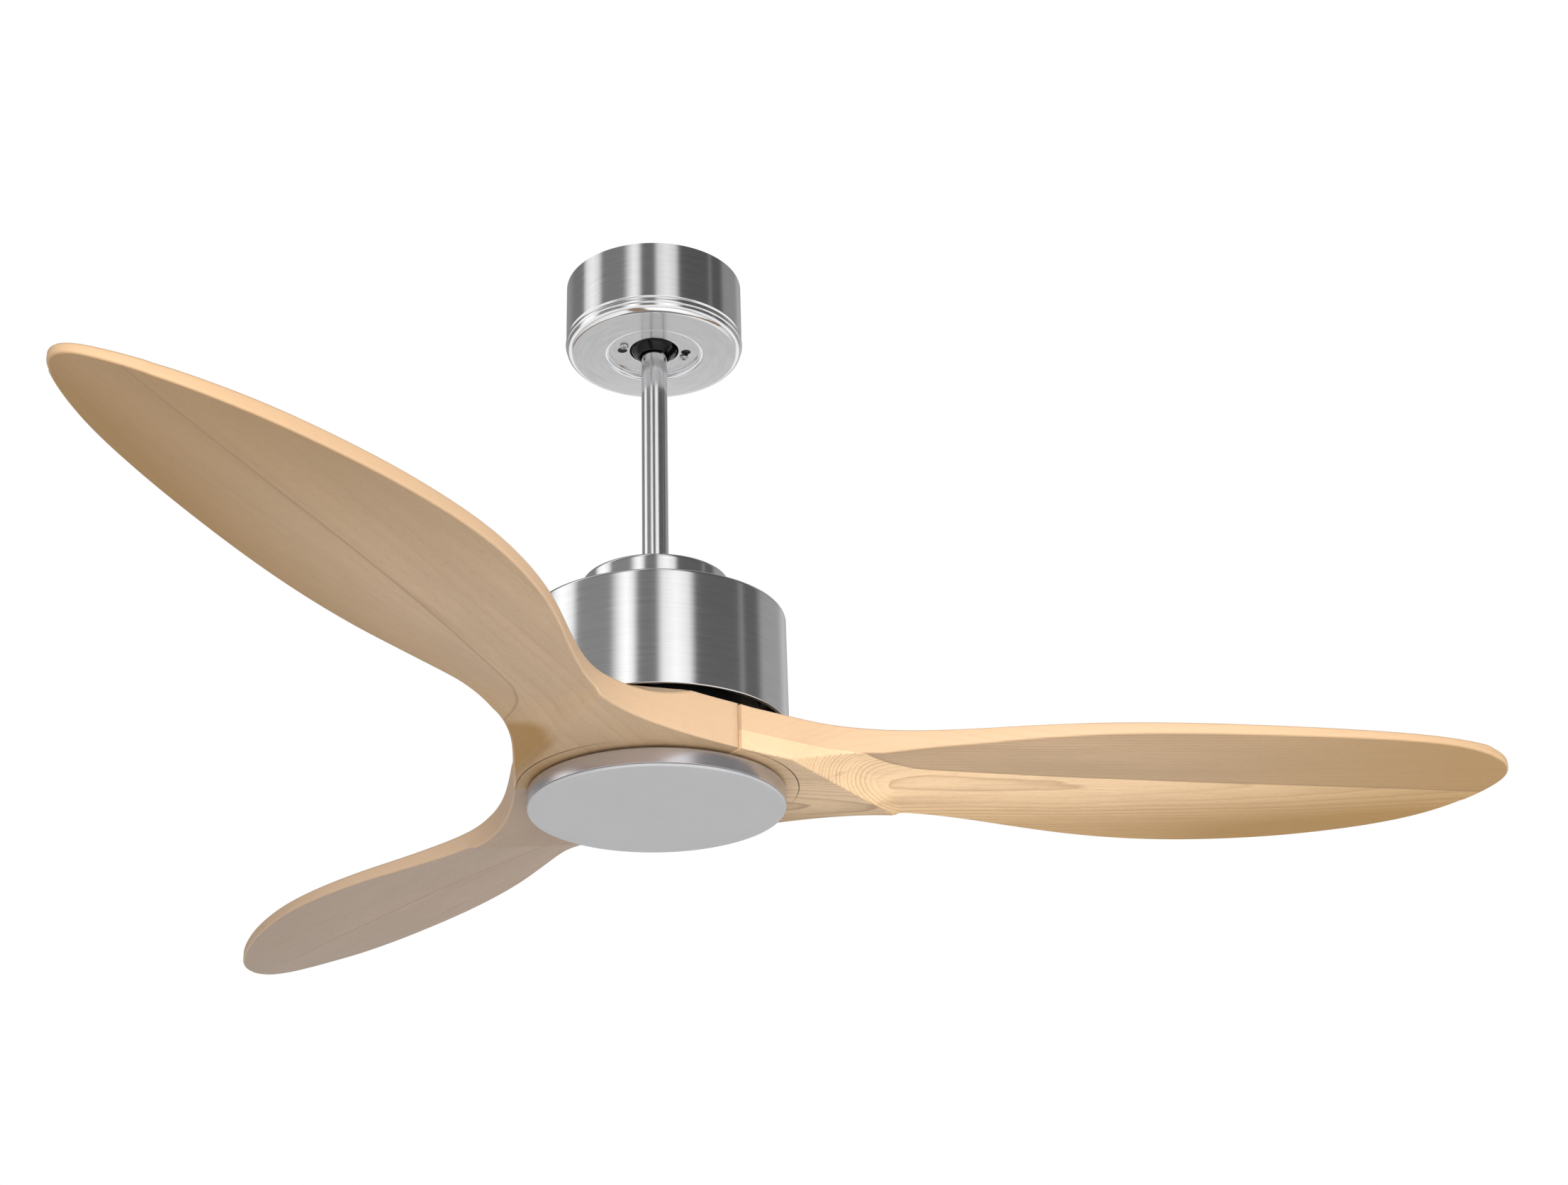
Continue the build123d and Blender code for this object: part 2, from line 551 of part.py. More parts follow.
lens_line = [
    Line((0, lens_top), (light_r, lens_top)),
    Line((light_r, lens_top), (light_r, lens_bottom + lens_edge)),
    ThreePointArc((light_r, lens_bottom + lens_edge), (light_r - 0.5, lens_bottom + 0.5),
                  (light_r - lens_edge, lens_bottom)),
    Line((light_r - lens_edge, lens_bottom), (0, lens_bottom)),
    Line((0, lens_bottom), (0, lens_top)),
]
lens = revolve(make_face(Plane.XZ * Wire(lens_line)), Axis.Z)
lens += ring(lens_skirt_r, lens_skirt_r - 1.8, lens_skirt_top, lens_top - 0.1)
lug_top = catch_top + 0.2 + lug_h
lug = ring(lens_skirt_r + lug_reach, lens_skirt_r - 1, lug_top, lug_top - lug_h)
lug &= Pos(light_r, 0, lug_top) * Box(30, 12, 6)
for place in around(lug_count, 0, 0):
    lens += place * lug
save("diffuser", lens)
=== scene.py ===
"""Three-blade ceiling fan with a flat light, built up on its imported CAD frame."""

import json
import math

import bpy
from mathutils import Matrix, Vector


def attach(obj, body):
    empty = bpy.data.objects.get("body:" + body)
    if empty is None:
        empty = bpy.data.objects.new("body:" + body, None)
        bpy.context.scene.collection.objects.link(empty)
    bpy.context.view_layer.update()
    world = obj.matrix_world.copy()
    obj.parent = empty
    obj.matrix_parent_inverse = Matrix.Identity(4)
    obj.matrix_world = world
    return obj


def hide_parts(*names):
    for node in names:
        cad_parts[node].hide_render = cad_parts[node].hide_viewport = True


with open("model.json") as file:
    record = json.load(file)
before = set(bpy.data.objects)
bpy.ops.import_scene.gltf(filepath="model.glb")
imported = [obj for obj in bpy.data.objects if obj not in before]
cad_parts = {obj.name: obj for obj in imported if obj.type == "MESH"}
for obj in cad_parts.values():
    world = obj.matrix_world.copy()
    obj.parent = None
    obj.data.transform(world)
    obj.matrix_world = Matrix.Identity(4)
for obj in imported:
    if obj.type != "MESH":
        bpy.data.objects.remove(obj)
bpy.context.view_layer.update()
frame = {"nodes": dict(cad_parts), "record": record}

bl_info = {
    "name": "Wooden Blade Ceiling Fan",
    "version": (1, 0, 0),
    "blender": (4, 5, 0),
    "location": "View3D > Sidebar > Fan",
    "description": "Builds a down-rod ceiling fan with carved blades and a flat light",
    "category": "Object",
}

MM = 0.001
TURN_STEPS = 160


# ---------------------------------------------------------------- settings


class FanSizes(bpy.types.PropertyGroup):
    """Sizes that shape the blades."""

    blade_edge: bpy.props.FloatProperty(
        name="Blade edge rounding", description="Rounding along the outline of a blade",
        default=1.9 * MM, unit="LENGTH", precision=4)
    seam_edge: bpy.props.FloatProperty(
        name="Seam rounding", description="Rounding where two blades butt together at the hub",
        default=0.9 * MM, unit="LENGTH", precision=4)
    blade_columns: bpy.props.IntProperty(
        name="Blade columns", description="Columns of faces across a blade", default=48, min=12)
    first_blade: bpy.props.FloatProperty(
        name="First blade", description="Azimuth of the first blade", default=math.radians(4.4),
        subtype="ANGLE")


class FanColours(bpy.types.PropertyGroup):
    """Colours of the finishes."""

    metal: bpy.props.FloatVectorProperty(
        name="Brushed metal", description="Satin nickel", subtype="COLOR", size=3,
        default=(0.79, 0.79, 0.80), min=0, max=1)
    pale_wood: bpy.props.FloatVectorProperty(
        name="Pale wood", description="The paler board of a blade", subtype="COLOR", size=3,
        default=(0.78, 0.54, 0.315), min=0, max=1)
    grey_wood: bpy.props.FloatVectorProperty(
        name="Grey wood", description="The greyer boards of the blades", subtype="COLOR", size=3,
        default=(0.40, 0.272, 0.158), min=0, max=1)
    warm_wood: bpy.props.FloatVectorProperty(
        name="Golden wood", description="Golden tone towards the tips and one side", subtype="COLOR", size=3,
        default=(0.31, 0.172, 0.040), min=0, max=1)
    dark_wood: bpy.props.FloatVectorProperty(
        name="Dark wood", description="Late wood lines and pores", subtype="COLOR", size=3,
        default=(0.21, 0.115, 0.045), min=0, max=1)
    # Painted light: this pale colour goes on the upright edges of the blades, standing in for the key light
    # falling on them.
    lit_edge_wood: bpy.props.FloatVectorProperty(
        name="Edge wood", description="Freshly cut edge of the blades", subtype="COLOR", size=3,
        default=(0.78, 0.53, 0.335), min=0, max=1)
    opal: bpy.props.FloatVectorProperty(
        name="Opal", description="Diffuser of the light", subtype="COLOR", size=3,
        default=(0.355, 0.355, 0.363), min=0, max=1)


# ---------------------------------------------------------------- making helpers


def deselect():
    """Nothing selected and nothing in edit mode."""
    if bpy.context.mode != "OBJECT":
        bpy.ops.object.mode_set(mode="OBJECT")
    bpy.ops.object.select_all(action="DESELECT")


def rounded(corners, steps=5):
    """Outline with its corners rounded: each corner is (radius, height, rounding) in mm."""
    count = len(corners)
    points = []
    for i, (x, z, r) in enumerate(corners):
        here = Vector((x, z))
        if not r:
            points.append(here)
            continue
        before = Vector(corners[i - 1][:2]) - here
        after = Vector(corners[(i + 1) % count][:2]) - here
        a, b = before.normalized(), after.normalized()
        half = a.angle(b) / 2
        back = r / math.tan(half)
        centre = here + (a + b).normalized() * (r / math.sin(half))
        start, end = here + a * back, here + b * back
        guard = min(0.35, 0.2 * before.length, 0.2 * after.length)
        points.append(start + a * guard)
        p, q = start - centre, end - centre
        sweep = p.angle(q)
        for k in range(steps + 1):
            t = k / steps
            blend = p * math.sin((1 - t) * sweep) + q * math.sin(t * sweep)
            points.append(centre + blend / math.sin(sweep))
        points.append(end + b * guard)
    return [(p.x, p.y) for p in points]


def smooth(piece, angle=32):
    """Smooth shading up to that angle between faces."""
    deselect()
    piece.select_set(True)
    bpy.context.view_layer.objects.active = piece
    bpy.ops.object.shade_smooth_by_angle(angle=math.radians(angle))


def turned(name, outline, closed=True, steps=TURN_STEPS):
    """A piece turned about the fan's axis from an outline of (radius, height) in mm."""
    deselect()
    bpy.ops.mesh.primitive_plane_add(size=MM, location=(0, 0, 0))
    piece = bpy.context.object
    piece.name = name
    bpy.ops.object.mode_set(mode="EDIT")
    bpy.ops.mesh.select_all(action="SELECT")
    bpy.ops.mesh.merge(type="CENTER")
    bpy.ops.mesh.select_all(action="SELECT")
    first = Vector((outline[0][0] * MM, 0, outline[0][1] * MM))
    bpy.ops.transform.translate(value=first)
    last = first
    path = list(outline[1:]) + ([outline[0]] if closed else [])
    for r, z in path:
        here = Vector((r * MM, 0, z * MM))
        bpy.ops.mesh.extrude_region_move(TRANSFORM_OT_translate={"value": here - last})
        last = here
    bpy.ops.mesh.select_all(action="SELECT")
    bpy.ops.mesh.remove_doubles(threshold=0.0000005)
    bpy.ops.mesh.select_all(action="SELECT")
    bpy.ops.mesh.spin(steps=steps, angle=2 * math.pi, center=(0, 0, 0), axis=(0, 0, 1))
    bpy.ops.mesh.select_all(action="SELECT")
    bpy.ops.mesh.remove_doubles(threshold=0.000001)
    bpy.ops.mesh.select_all(action="SELECT")
    bpy.ops.mesh.normals_make_consistent(inside=False)
    bpy.ops.object.mode_set(mode="OBJECT")
    smooth(piece)
    return piece


def cut(piece, cutter):
    """Cuts one piece with another, which is then removed."""
    deselect()
    piece.select_set(True)
    bpy.context.view_layer.objects.active = piece
    tool = piece.modifiers.new("cut", "BOOLEAN")
    tool.operation = "DIFFERENCE"
    tool.solver = "EXACT"
    tool.object = cutter
    bpy.ops.object.modifier_apply(modifier=tool.name)
    mesh = cutter.data
    bpy.data.objects.remove(cutter)
    bpy.data.meshes.remove(mesh)


def rod_cutter(radius, x, y, low, high, sides=32):
    """Upright round cutter, in mm."""
    deselect()
    bpy.ops.mesh.primitive_cylinder_add(
        vertices=sides, radius=radius * MM, depth=(high - low) * MM,
        location=(x * MM, y * MM, (low + high) / 2 * MM))
    return bpy.context.object


def bar_cutter(size, place, turn):
    """Box cutter of a size in mm, turned about +Z at its place."""
    deselect()
    bpy.ops.mesh.primitive_cube_add(size=1, location=[c * MM for c in place], rotation=(0, 0, turn))
    piece = bpy.context.object
    piece.scale = [c * MM for c in size]
    return piece


def settle(piece):
    """Puts the object's place into its mesh, so that it sits at the origin, unturned and unscaled."""
    deselect()
    piece.select_set(True)
    bpy.context.view_layer.objects.active = piece
    bpy.ops.object.transform_apply(location=True, rotation=True, scale=True)


def copies(piece, places):
    """Copies of a modelled piece, each with its own mesh, at those places; the model is removed."""
    made = []
    for i, place in enumerate(places):
        twin = piece.copy()
        twin.data = piece.data.copy()
        twin.data.transform(place)
        twin.name = f"{piece.name}_{i + 1}"
        bpy.context.collection.objects.link(twin)
        made.append(twin)
    bpy.data.objects.remove(piece)
    return made


def dress(piece, material):
    """Gives a piece one material."""
    piece.data.materials.clear()
    piece.data.materials.append(material)


def fit(piece, body, slot, material, *nodes):
    """Finish, body and CAD nodes of a piece."""
    dress(piece, material)
    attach(piece, body)
    if nodes:
        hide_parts(*nodes)


# ---------------------------------------------------------------- node helpers


class Graph:
    """A node tree that is filled step by step."""

    def __init__(self, tree):
        self.tree = tree

    def add(self, kind, **settings):
        node = self.tree.nodes.new(kind)
        for key, value in settings.items():
            setattr(node, key, value)
        return node

    def join(self, output, socket):
        self.tree.links.new(output, socket)

    def math(self, operation, a, b=None, c=None, clamp=False):
        node = self.add("ShaderNodeMath", operation=operation, use_clamp=clamp)
        for socket, value in zip(node.inputs, (a, b, c)):
            self.feed(socket, value)
        return node.outputs[0]

    def feed(self, socket, value):
        if value is None:
            return
        if isinstance(value, bpy.types.NodeSocket):
            self.join(value, socket)
        else:
            socket.default_value = value

    def mix(self, factor, a, b, blend="MIX"):
        node = self.add("ShaderNodeMix", data_type="RGBA", blend_type=blend)
        self.feed(node.inputs[0], factor)
        self.feed(node.inputs[6], a)
        self.feed(node.inputs[7], b)
        return node.outputs[2]

    def noise(self, vector, scale, detail=3.0, roughness=0.5, distortion=0.0):
        node = self.add("ShaderNodeTexNoise")
        self.feed(node.inputs["Vector"], vector)
        node.inputs["Scale"].default_value = scale
        node.inputs["Detail"].default_value = detail
        node.inputs["Roughness"].default_value = roughness
        node.inputs["Distortion"].default_value = distortion
        return node.outputs["Fac"]

    def ramp(self, value, *stops):
        node = self.add("ShaderNodeValToRGB")
        band = node.color_ramp
        while len(band.elements) < len(stops):
            band.elements.new(0.5)
        for element, (place, grey) in zip(band.elements, stops):
            element.position = place
            element.color = (grey, grey, grey, 1) if isinstance(grey, (int, float)) else (*grey, 1)
        self.feed(node.inputs[0], value)
        return node.outputs[0]

    def span(self, value, low, high, to_low=0.0, to_high=1.0, smooth=False):
        node = self.add("ShaderNodeMapRange", interpolation_type="SMOOTHSTEP" if smooth else "LINEAR")
        for i, v in enumerate((value, low, high, to_low, to_high)):
            self.feed(node.inputs[i], v)
        return node.outputs[0]

    def vector(self, x, y, z):
        node = self.add("ShaderNodeCombineXYZ")
        for socket, value in zip(node.inputs, (x, y, z)):
            self.feed(socket, value)
        return node.outputs[0]

    def split(self, vector):
        node = self.add("ShaderNodeSeparateXYZ")
        self.join(vector, node.inputs[0])
        return node.outputs


def new_group(name, inputs, outputs):
    """An empty shader node group with named inputs (name, kind, default) and outputs (name, kind)."""
    group = bpy.data.node_groups.new(name, "ShaderNodeTree")
    for label, kind, default in inputs:
        socket = group.interface.new_socket(name=label, in_out="INPUT", socket_type=kind)
        if default is not None:
            socket.default_value = default
    for label, kind in outputs:
        group.interface.new_socket(name=label, in_out="OUTPUT", socket_type=kind)
    graph = Graph(group)
    return graph, graph.add("NodeGroupInput").outputs, graph.add("NodeGroupOutput").inputs


FLOAT, VECTOR = "NodeSocketFloat", "NodeSocketVector"


def brush_group():
    """Fine marks that run round the fan's axis, on walls and on flat faces."""
    g, inp, out = new_group(
        "Turned brushing",
        [("Position", VECTOR, None), ("Lines per metre", FLOAT, 2600.0), ("Streak", FLOAT, 9.0)],
        [("Marks", FLOAT), ("Patches", FLOAT)])
    x, y, z = g.split(inp["Position"])
    radius = g.math("SQRT", g.math("ADD", g.math("MULTIPLY", x, x), g.math("MULTIPLY", y, y)))
    safe = g.math("MAXIMUM", radius, 0.0005)
    along_x = g.math("MULTIPLY", g.math("DIVIDE", x, safe), inp["Streak"])
    along_y = g.math("MULTIPLY", g.math("DIVIDE", y, safe), inp["Streak"])
    across = g.math("MULTIPLY", g.math("ADD", z, g.math("MULTIPLY", radius, 0.93)), inp["Lines per metre"])
    fine = g.noise(g.vector(along_x, along_y, across), 1.0, 2.0, 0.6)
    wide = g.noise(g.vector(along_x, along_y, g.math("MULTIPLY", across, 0.22)), 1.0, 2.0, 0.5)
    g.feed(out["Marks"], g.math("ADD", g.math("MULTIPLY", fine, 0.5), g.math("MULTIPLY", wide, 0.5)))
    g.feed(out["Patches"], g.noise(inp["Position"], 24.0, 4.0, 0.6))
    return g.tree


def wood_group():
    """Growth rings and fibres of one board, cut from a log whose pith runs roughly along X."""
    g, inp, out = new_group(
        "Wood board",
        [("Position", VECTOR, None), ("Pith Y", FLOAT, 0.05), ("Pith Z", FLOAT, -0.16),
         ("Lean Y", FLOAT, 0.0), ("Lean Z", FLOAT, 0.0), ("Ring width", FLOAT, 0.008),
         ("Wander", FLOAT, 0.006), ("Seed", FLOAT, 0.0)],
        [("Rings", FLOAT), ("Fibres", FLOAT), ("Cloud", FLOAT), ("Pores", FLOAT), ("Streaks", FLOAT)])
    x, y, z = g.split(inp["Position"])
    shifted = g.math("ADD", x, inp["Seed"])

    def stretched(along, across):
        return g.vector(g.math("MULTIPLY", shifted, along), g.math("MULTIPLY", y, across),
                        g.math("MULTIPLY", z, across))

    slow = g.noise(stretched(3.2, 9.0), 1.0, 2.0, 0.45)
    quick = g.noise(stretched(14.0, 60.0), 1.0, 2.0, 0.5)
    wave = g.math("MULTIPLY", g.math("SUBTRACT", slow, 0.5), inp["Wander"])
    ripple = g.math("MULTIPLY", g.math("SUBTRACT", quick, 0.5), g.math("MULTIPLY", inp["Wander"], 0.22))
    away_y = g.math("ADD", g.math("SUBTRACT", y, inp["Pith Y"]), g.math("MULTIPLY", x, inp["Lean Y"]))
    away_z = g.math("ADD", g.math("SUBTRACT", z, inp["Pith Z"]), g.math("MULTIPLY", x, inp["Lean Z"]))
    away = g.math("SQRT", g.math("ADD", g.math("MULTIPLY", away_y, away_y),
                                 g.math("MULTIPLY", away_z, away_z)))
    rings = g.math("DIVIDE", g.math("ADD", away, g.math("ADD", wave, ripple)), inp["Ring width"])
    part = g.math("FRACT", rings)
    line = g.ramp(part, (0.0, 0.0), (0.45, 0.06), (0.80, 0.38), (0.93, 1.0), (1.0, 0.0))
    strength = g.noise(g.vector(g.math("FLOOR", rings), inp["Seed"], 0.5), 3.1, 0.0)
    g.feed(out["Rings"], g.math("MULTIPLY", line, g.span(strength, 0.3, 0.7, 0.25, 1.0)))
    g.feed(out["Fibres"], g.noise(stretched(30.0, 640.0), 1.0, 3.0, 0.6))
    g.feed(out["Cloud"], g.noise(stretched(4.5, 26.0), 1.0, 4.0, 0.55))
    pores = g.noise(stretched(150.0, 1300.0), 1.0, 1.0)
    g.feed(out["Pores"], g.ramp(pores, (0.0, 1.0), (0.30, 0.7), (0.40, 0.0), (1.0, 0.0)))
    streaks = g.noise(stretched(2.2, 85.0), 1.0, 2.0, 0.5)
    g.feed(out["Streaks"], g.ramp(streaks, (0.0, 1.0), (0.28, 0.8), (0.40, 0.0), (1.0, 0.0)))
    return g.tree


def speckle_group():
    """Small even texture of moulded, cast and painted surfaces."""
    g, inp, out = new_group(
        "Surface grain", [("Position", VECTOR, None), ("Grain per metre", FLOAT, 900.0)],
        [("Grain", FLOAT), ("Patches", FLOAT)])
    node = g.add("ShaderNodeTexNoise")
    g.join(inp["Position"], node.inputs["Vector"])
    g.join(inp["Grain per metre"], node.inputs["Scale"])
    node.inputs["Detail"].default_value = 3.0
    g.feed(out["Grain"], node.outputs["Fac"])
    g.feed(out["Patches"], g.noise(inp["Position"], 30.0, 3.0, 0.6))
    return g.tree


def start_material(name):
    """A material with its graph, Principled node and Object position."""
    material = bpy.data.materials.new(name)
    material.use_nodes = True
    material.node_tree.nodes.clear()
    g = Graph(material.node_tree)
    shader = g.add("ShaderNodeBsdfPrincipled")
    g.join(shader.outputs[0], g.add("ShaderNodeOutputMaterial").inputs[0])
    place = g.add("ShaderNodeTexCoord").outputs["Object"]
    return material, g, shader, place


def use_group(g, tree, **values):
    """Places a node group; underscores in a name stand for spaces."""
    node = g.add("ShaderNodeGroup")
    node.node_tree = tree
    for key, value in values.items():
        g.feed(node.inputs[key.replace("_", " ")], value)
    return node.outputs


def bump(g, shader, height, strength, depth):
    """Bump that feeds the shader's normal."""
    node = g.add("ShaderNodeBump")
    node.inputs["Strength"].default_value = strength
    node.inputs["Distance"].default_value = depth
    g.join(height, node.inputs["Height"])
    g.join(node.outputs[0], shader.inputs["Normal"])


def shade(colour, factor):
    """A colour made darker or lighter, with alpha."""
    return (*[min(1.0, c * factor) for c in colour[:3]], 1.0)


def brushed_metal(name, colour, lines=1500.0, streak=3.0, rough=(0.11, 0.16), depth=0.00002, strength=0.10,
                  metallic=1.0):
    """Metal brushed round the fan's axis."""
    material, g, shader, place = start_material(name)
    marks = use_group(g, bpy.data.node_groups["Turned brushing"], Position=place, Lines_per_metre=lines,
                      Streak=streak)
    tone = g.mix(g.span(marks["Marks"], 0.3, 0.7), shade(colour, 0.93), shade(colour, 1.05))
    tone = g.mix(g.span(marks["Patches"], 0.35, 0.75, 0.0, 0.12), tone, shade(colour, 0.85))
    g.join(tone, shader.inputs["Base Color"])
    g.join(g.span(marks["Marks"], 0.25, 0.75, rough[0], rough[1]), shader.inputs["Roughness"])
    shader.inputs["Metallic"].default_value = metallic
    bump(g, shader, marks["Marks"], strength, depth)
    return material


def grained(name, colour, rough=(0.35, 0.5), metallic=0.0, grain=900.0, depth=0.00004, strength=0.3,
            second=0.8):
    """Moulded, cast or painted surface with a small even grain."""
    material, g, shader, place = start_material(name)
    texture = use_group(g, bpy.data.node_groups["Surface grain"], Position=place, Grain_per_metre=grain)
    tone = g.mix(g.span(texture["Patches"], 0.3, 0.7), shade(colour, second), shade(colour, 1.08))
    tone = g.mix(g.span(texture["Grain"], 0.4, 0.8, 0.0, 0.35), tone, shade(colour, 0.7))
    g.join(tone, shader.inputs["Base Color"])
    g.join(g.span(texture["Grain"], 0.3, 0.7, rough[0], rough[1]), shader.inputs["Roughness"])
    shader.inputs["Metallic"].default_value = metallic
    bump(g, shader, texture["Grain"], strength, depth)
    return material


def glossy_black(name):
    """Polished black ball."""
    material = grained(name, (0.004, 0.004, 0.0045), (0.10, 0.18), 0.0, 1500, 0.00001, 0.1)
    shader = next(n for n in material.node_tree.nodes if n.bl_idname == "ShaderNodeBsdfPrincipled")
    shader.inputs["Specular IOR Level"].default_value = 0.2
    return material


def opal_plastic(name, colour):
    """Satin opal acrylic."""
    material, g, shader, place = start_material(name)
    texture = use_group(g, bpy.data.node_groups["Surface grain"], Position=place, Grain_per_metre=1400.0)
    tone = g.mix(g.span(texture["Patches"], 0.3, 0.75), shade(colour, 0.95), shade(colour, 1.04))
    g.join(tone, shader.inputs["Base Color"])
    g.join(g.span(texture["Patches"], 0.3, 0.7, 0.42, 0.52), shader.inputs["Roughness"])
    shader.inputs["Subsurface Weight"].default_value = 0.15
    shader.inputs["Subsurface Radius"].default_value = (0.004, 0.004, 0.004)
    shader.inputs["Subsurface Scale"].default_value = 1.0
    bump(g, shader, texture["Grain"], 0.08, 0.00002)
    return material


def wound_copper(name):
    """Enamelled copper wire wound round a tooth."""
    material, g, shader, place = start_material(name)
    z = g.split(place)[2]
    turns = g.math("PINGPONG", g.math("MULTIPLY", z, 1400.0), 1.0)
    tone = g.mix(turns, (0.30, 0.10, 0.035, 1), (0.78, 0.36, 0.16, 1))
    g.join(tone, shader.inputs["Base Color"])
    g.join(g.span(turns, 0, 1, 0.45, 0.28), shader.inputs["Roughness"])
    shader.inputs["Metallic"].default_value = 0.9
    bump(g, shader, turns, 0.6, 0.0002)
    return material


def laminated_steel(name):
    """Stack of thin core sheets."""
    material, g, shader, place = start_material(name)
    z = g.split(place)[2]
    sheets = g.math("PINGPONG", g.math("MULTIPLY", z, 2000.0), 1.0)
    g.join(g.mix(sheets, (0.10, 0.10, 0.11, 1), (0.34, 0.34, 0.36, 1)), shader.inputs["Base Color"])
    g.join(g.span(sheets, 0, 1, 0.55, 0.35), shader.inputs["Roughness"])
    shader.inputs["Metallic"].default_value = 0.85
    bump(g, shader, sheets, 0.4, 0.0001)
    return material


TIP_WARMTH = (0.30, 0.66)        # metres out where the golden tone starts and is full
SIDE_WARMTH = (0.0, 0.085)       # metres off the middle line for the same
WARMTH_SHARE = 0.72
PAINTED_ROOT_SHADE_X = (0.150, 0.135)     # painted shade: golden-brown patch on the cove at the root, between these places
PAINTED_ROOT_SHADE_Y = (-0.005, -0.03)
PAINTED_ROOT_SHADE_CREASE = (0.130, 0.145)
PAINTED_ROOT_SHADE_SLANT = 0.85
GLUE_BLEND = 0.0002
GLUE_LINE = 0.00016


def carved_wood(name, azimuth, glue, upper, lower, lower_tint, upper_tint, edge_light_tint, warm_side, warm_and_root_shade_tint,
                painted_root_shade, lines, painted_hub_shade):
    """Two glued boards carved into one blade; each board is a dict of its log's settings."""
    material, g, shader, place = start_material(name)
    dark = settings()[1].dark_wood
    mapping = g.add("ShaderNodeMapping")
    g.join(place, mapping.inputs["Vector"])
    mapping.inputs["Rotation"].default_value = (0, 0, -azimuth)
    local = mapping.outputs[0]
    x, y, z = g.split(local)
    rim = g.add("ShaderNodeAttribute", attribute_name="rim").outputs["Fac"]
    tree = bpy.data.node_groups["Wood board"]
    tip_warmth = g.span(x, *TIP_WARMTH, 0.0, 1.0, True)
    side_warmth = g.span(g.math("MULTIPLY", y, warm_side), *SIDE_WARMTH, 0.0, 1.0, True)
    warmth_and_root_shade = g.math("MULTIPLY", g.math("ADD", tip_warmth, side_warmth), WARMTH_SHARE, clamp=True)
    # Painted shade: a golden-brown patch on the cove at the root, near the leading side, joins the golden
    # tone; only the second blade has it.
    root = g.math("MULTIPLY", g.span(x, *PAINTED_ROOT_SHADE_X, 0.0, 1.0, True),
                  g.span(y, *PAINTED_ROOT_SHADE_Y, 0.0, 1.0, True))
    from_crease = g.math("SUBTRACT", x, g.math("MULTIPLY", y, PAINTED_ROOT_SHADE_SLANT))
    root = g.math("MULTIPLY", root, g.span(from_crease, *PAINTED_ROOT_SHADE_CREASE, 0.0, painted_root_shade, True))
    warmth_and_root_shade = g.math("MAXIMUM", warmth_and_root_shade, root)
    tones, heights = [], []
    boards = ((lower, lower_tint, lines[0]), (upper, upper_tint, lines[1]))
    for board_settings, tint, ring_strength in boards:
        board = use_group(g, tree, Position=local, **board_settings)
        base = g.mix(g.span(board["Cloud"], 0.3, 0.72), shade(tint, 0.90), shade(tint, 1.10))
        # golden tone towards the tips and one side, with the painted root shade in it
        base = g.mix(warmth_and_root_shade, base, (*warm_and_root_shade_tint, 1))
        lined = g.mix(g.math("MULTIPLY", board["Rings"], ring_strength), base, shade(dark, 1.25))
        streaked = g.mix(g.math("MULTIPLY", board["Streaks"], 0.30), lined, shade(dark, 1.2))
        fibred = g.mix(g.span(board["Fibres"], 0.35, 0.85, 0.0, 0.26), streaked, shade(dark, 1.3))
        tones.append(g.mix(g.math("MULTIPLY", board["Pores"], 0.30), fibred, shade(dark, 1.0)))
        heights.append(g.math("SUBTRACT", board["Fibres"], g.math("MULTIPLY", board["Pores"], 0.8)))
    side = g.span(z, glue - GLUE_BLEND, glue + GLUE_BLEND)
    tone = g.mix(side, tones[0], tones[1])
    line = g.math("COMPARE", z, glue, GLUE_LINE)
    tone = g.mix(g.math("MULTIPLY", line, 0.5), tone, shade(dark, 0.9))
    # Painted shade: the flat hub inside the crease is darkened by the hub factor, standing in for the cove
    # catching more light than the flat; only the first blade's factor is below 1.
    past_crease = g.math("SUBTRACT", x, g.math("MULTIPLY", y, CREASE_SLANT))
    flat = g.span(past_crease, (CREASE_R - 1) * MM, (CREASE_R + 1) * MM, painted_hub_shade, 1.0, True)
    hub_shaded_face_tone = g.mix(flat, (0, 0, 0, 1), tone)
    # Painted light: the upright edges and their rounding are painted paler, standing in for the key light
    # falling on them; the rim attribute gives how upright each point is.
    lit_edge_tone = g.mix(0.55, tone, (*edge_light_tint, 1))
    g.join(g.mix(rim, hub_shaded_face_tone, lit_edge_tone), shader.inputs["Base Color"])
    height = g.add("ShaderNodeMix", data_type="FLOAT")
    g.feed(height.inputs[0], side)
    g.feed(height.inputs[2], heights[0])
    g.feed(height.inputs[3], heights[1])
    g.join(g.span(heights[0], 0.2, 0.8, 0.55, 0.44), shader.inputs["Roughness"])
    shader.inputs["Coat Weight"].default_value = 0.08
    shader.inputs["Coat Roughness"].default_value = 0.35
    bump(g, shader, height.outputs[0], 0.16, 0.00012)
    return material


# ---------------------------------------------------------------- blade shape

# Outline of a blade: radius and distance to the side, in mm, from one crotch round the tip to the other.
OUTLINE = ((52.6, 90.9), (73, 80), (95, 69.5), (118, 60), (146, 51.5), (178, 47.5), (226, 54.5),
           (311, 80.5), (367, 91.8), (418, 94.8), (464, 91), (505, 83.5), (541, 73.5), (599, 50),
           (638, 23), (653, 6), (660, -11), (655, -25), (640, -37), (599, -53.5), (541, -64),
           (464, -70.5), (380, -72.8), (311, -68.3), (251, -58), (180, -47.3), (146, -49.8),
           (118, -57.5), (95, -68.5), (73, -80), (52.6, -90.9))
TRAILING_END = (638, 23)
LEADING_END = (640, -37)
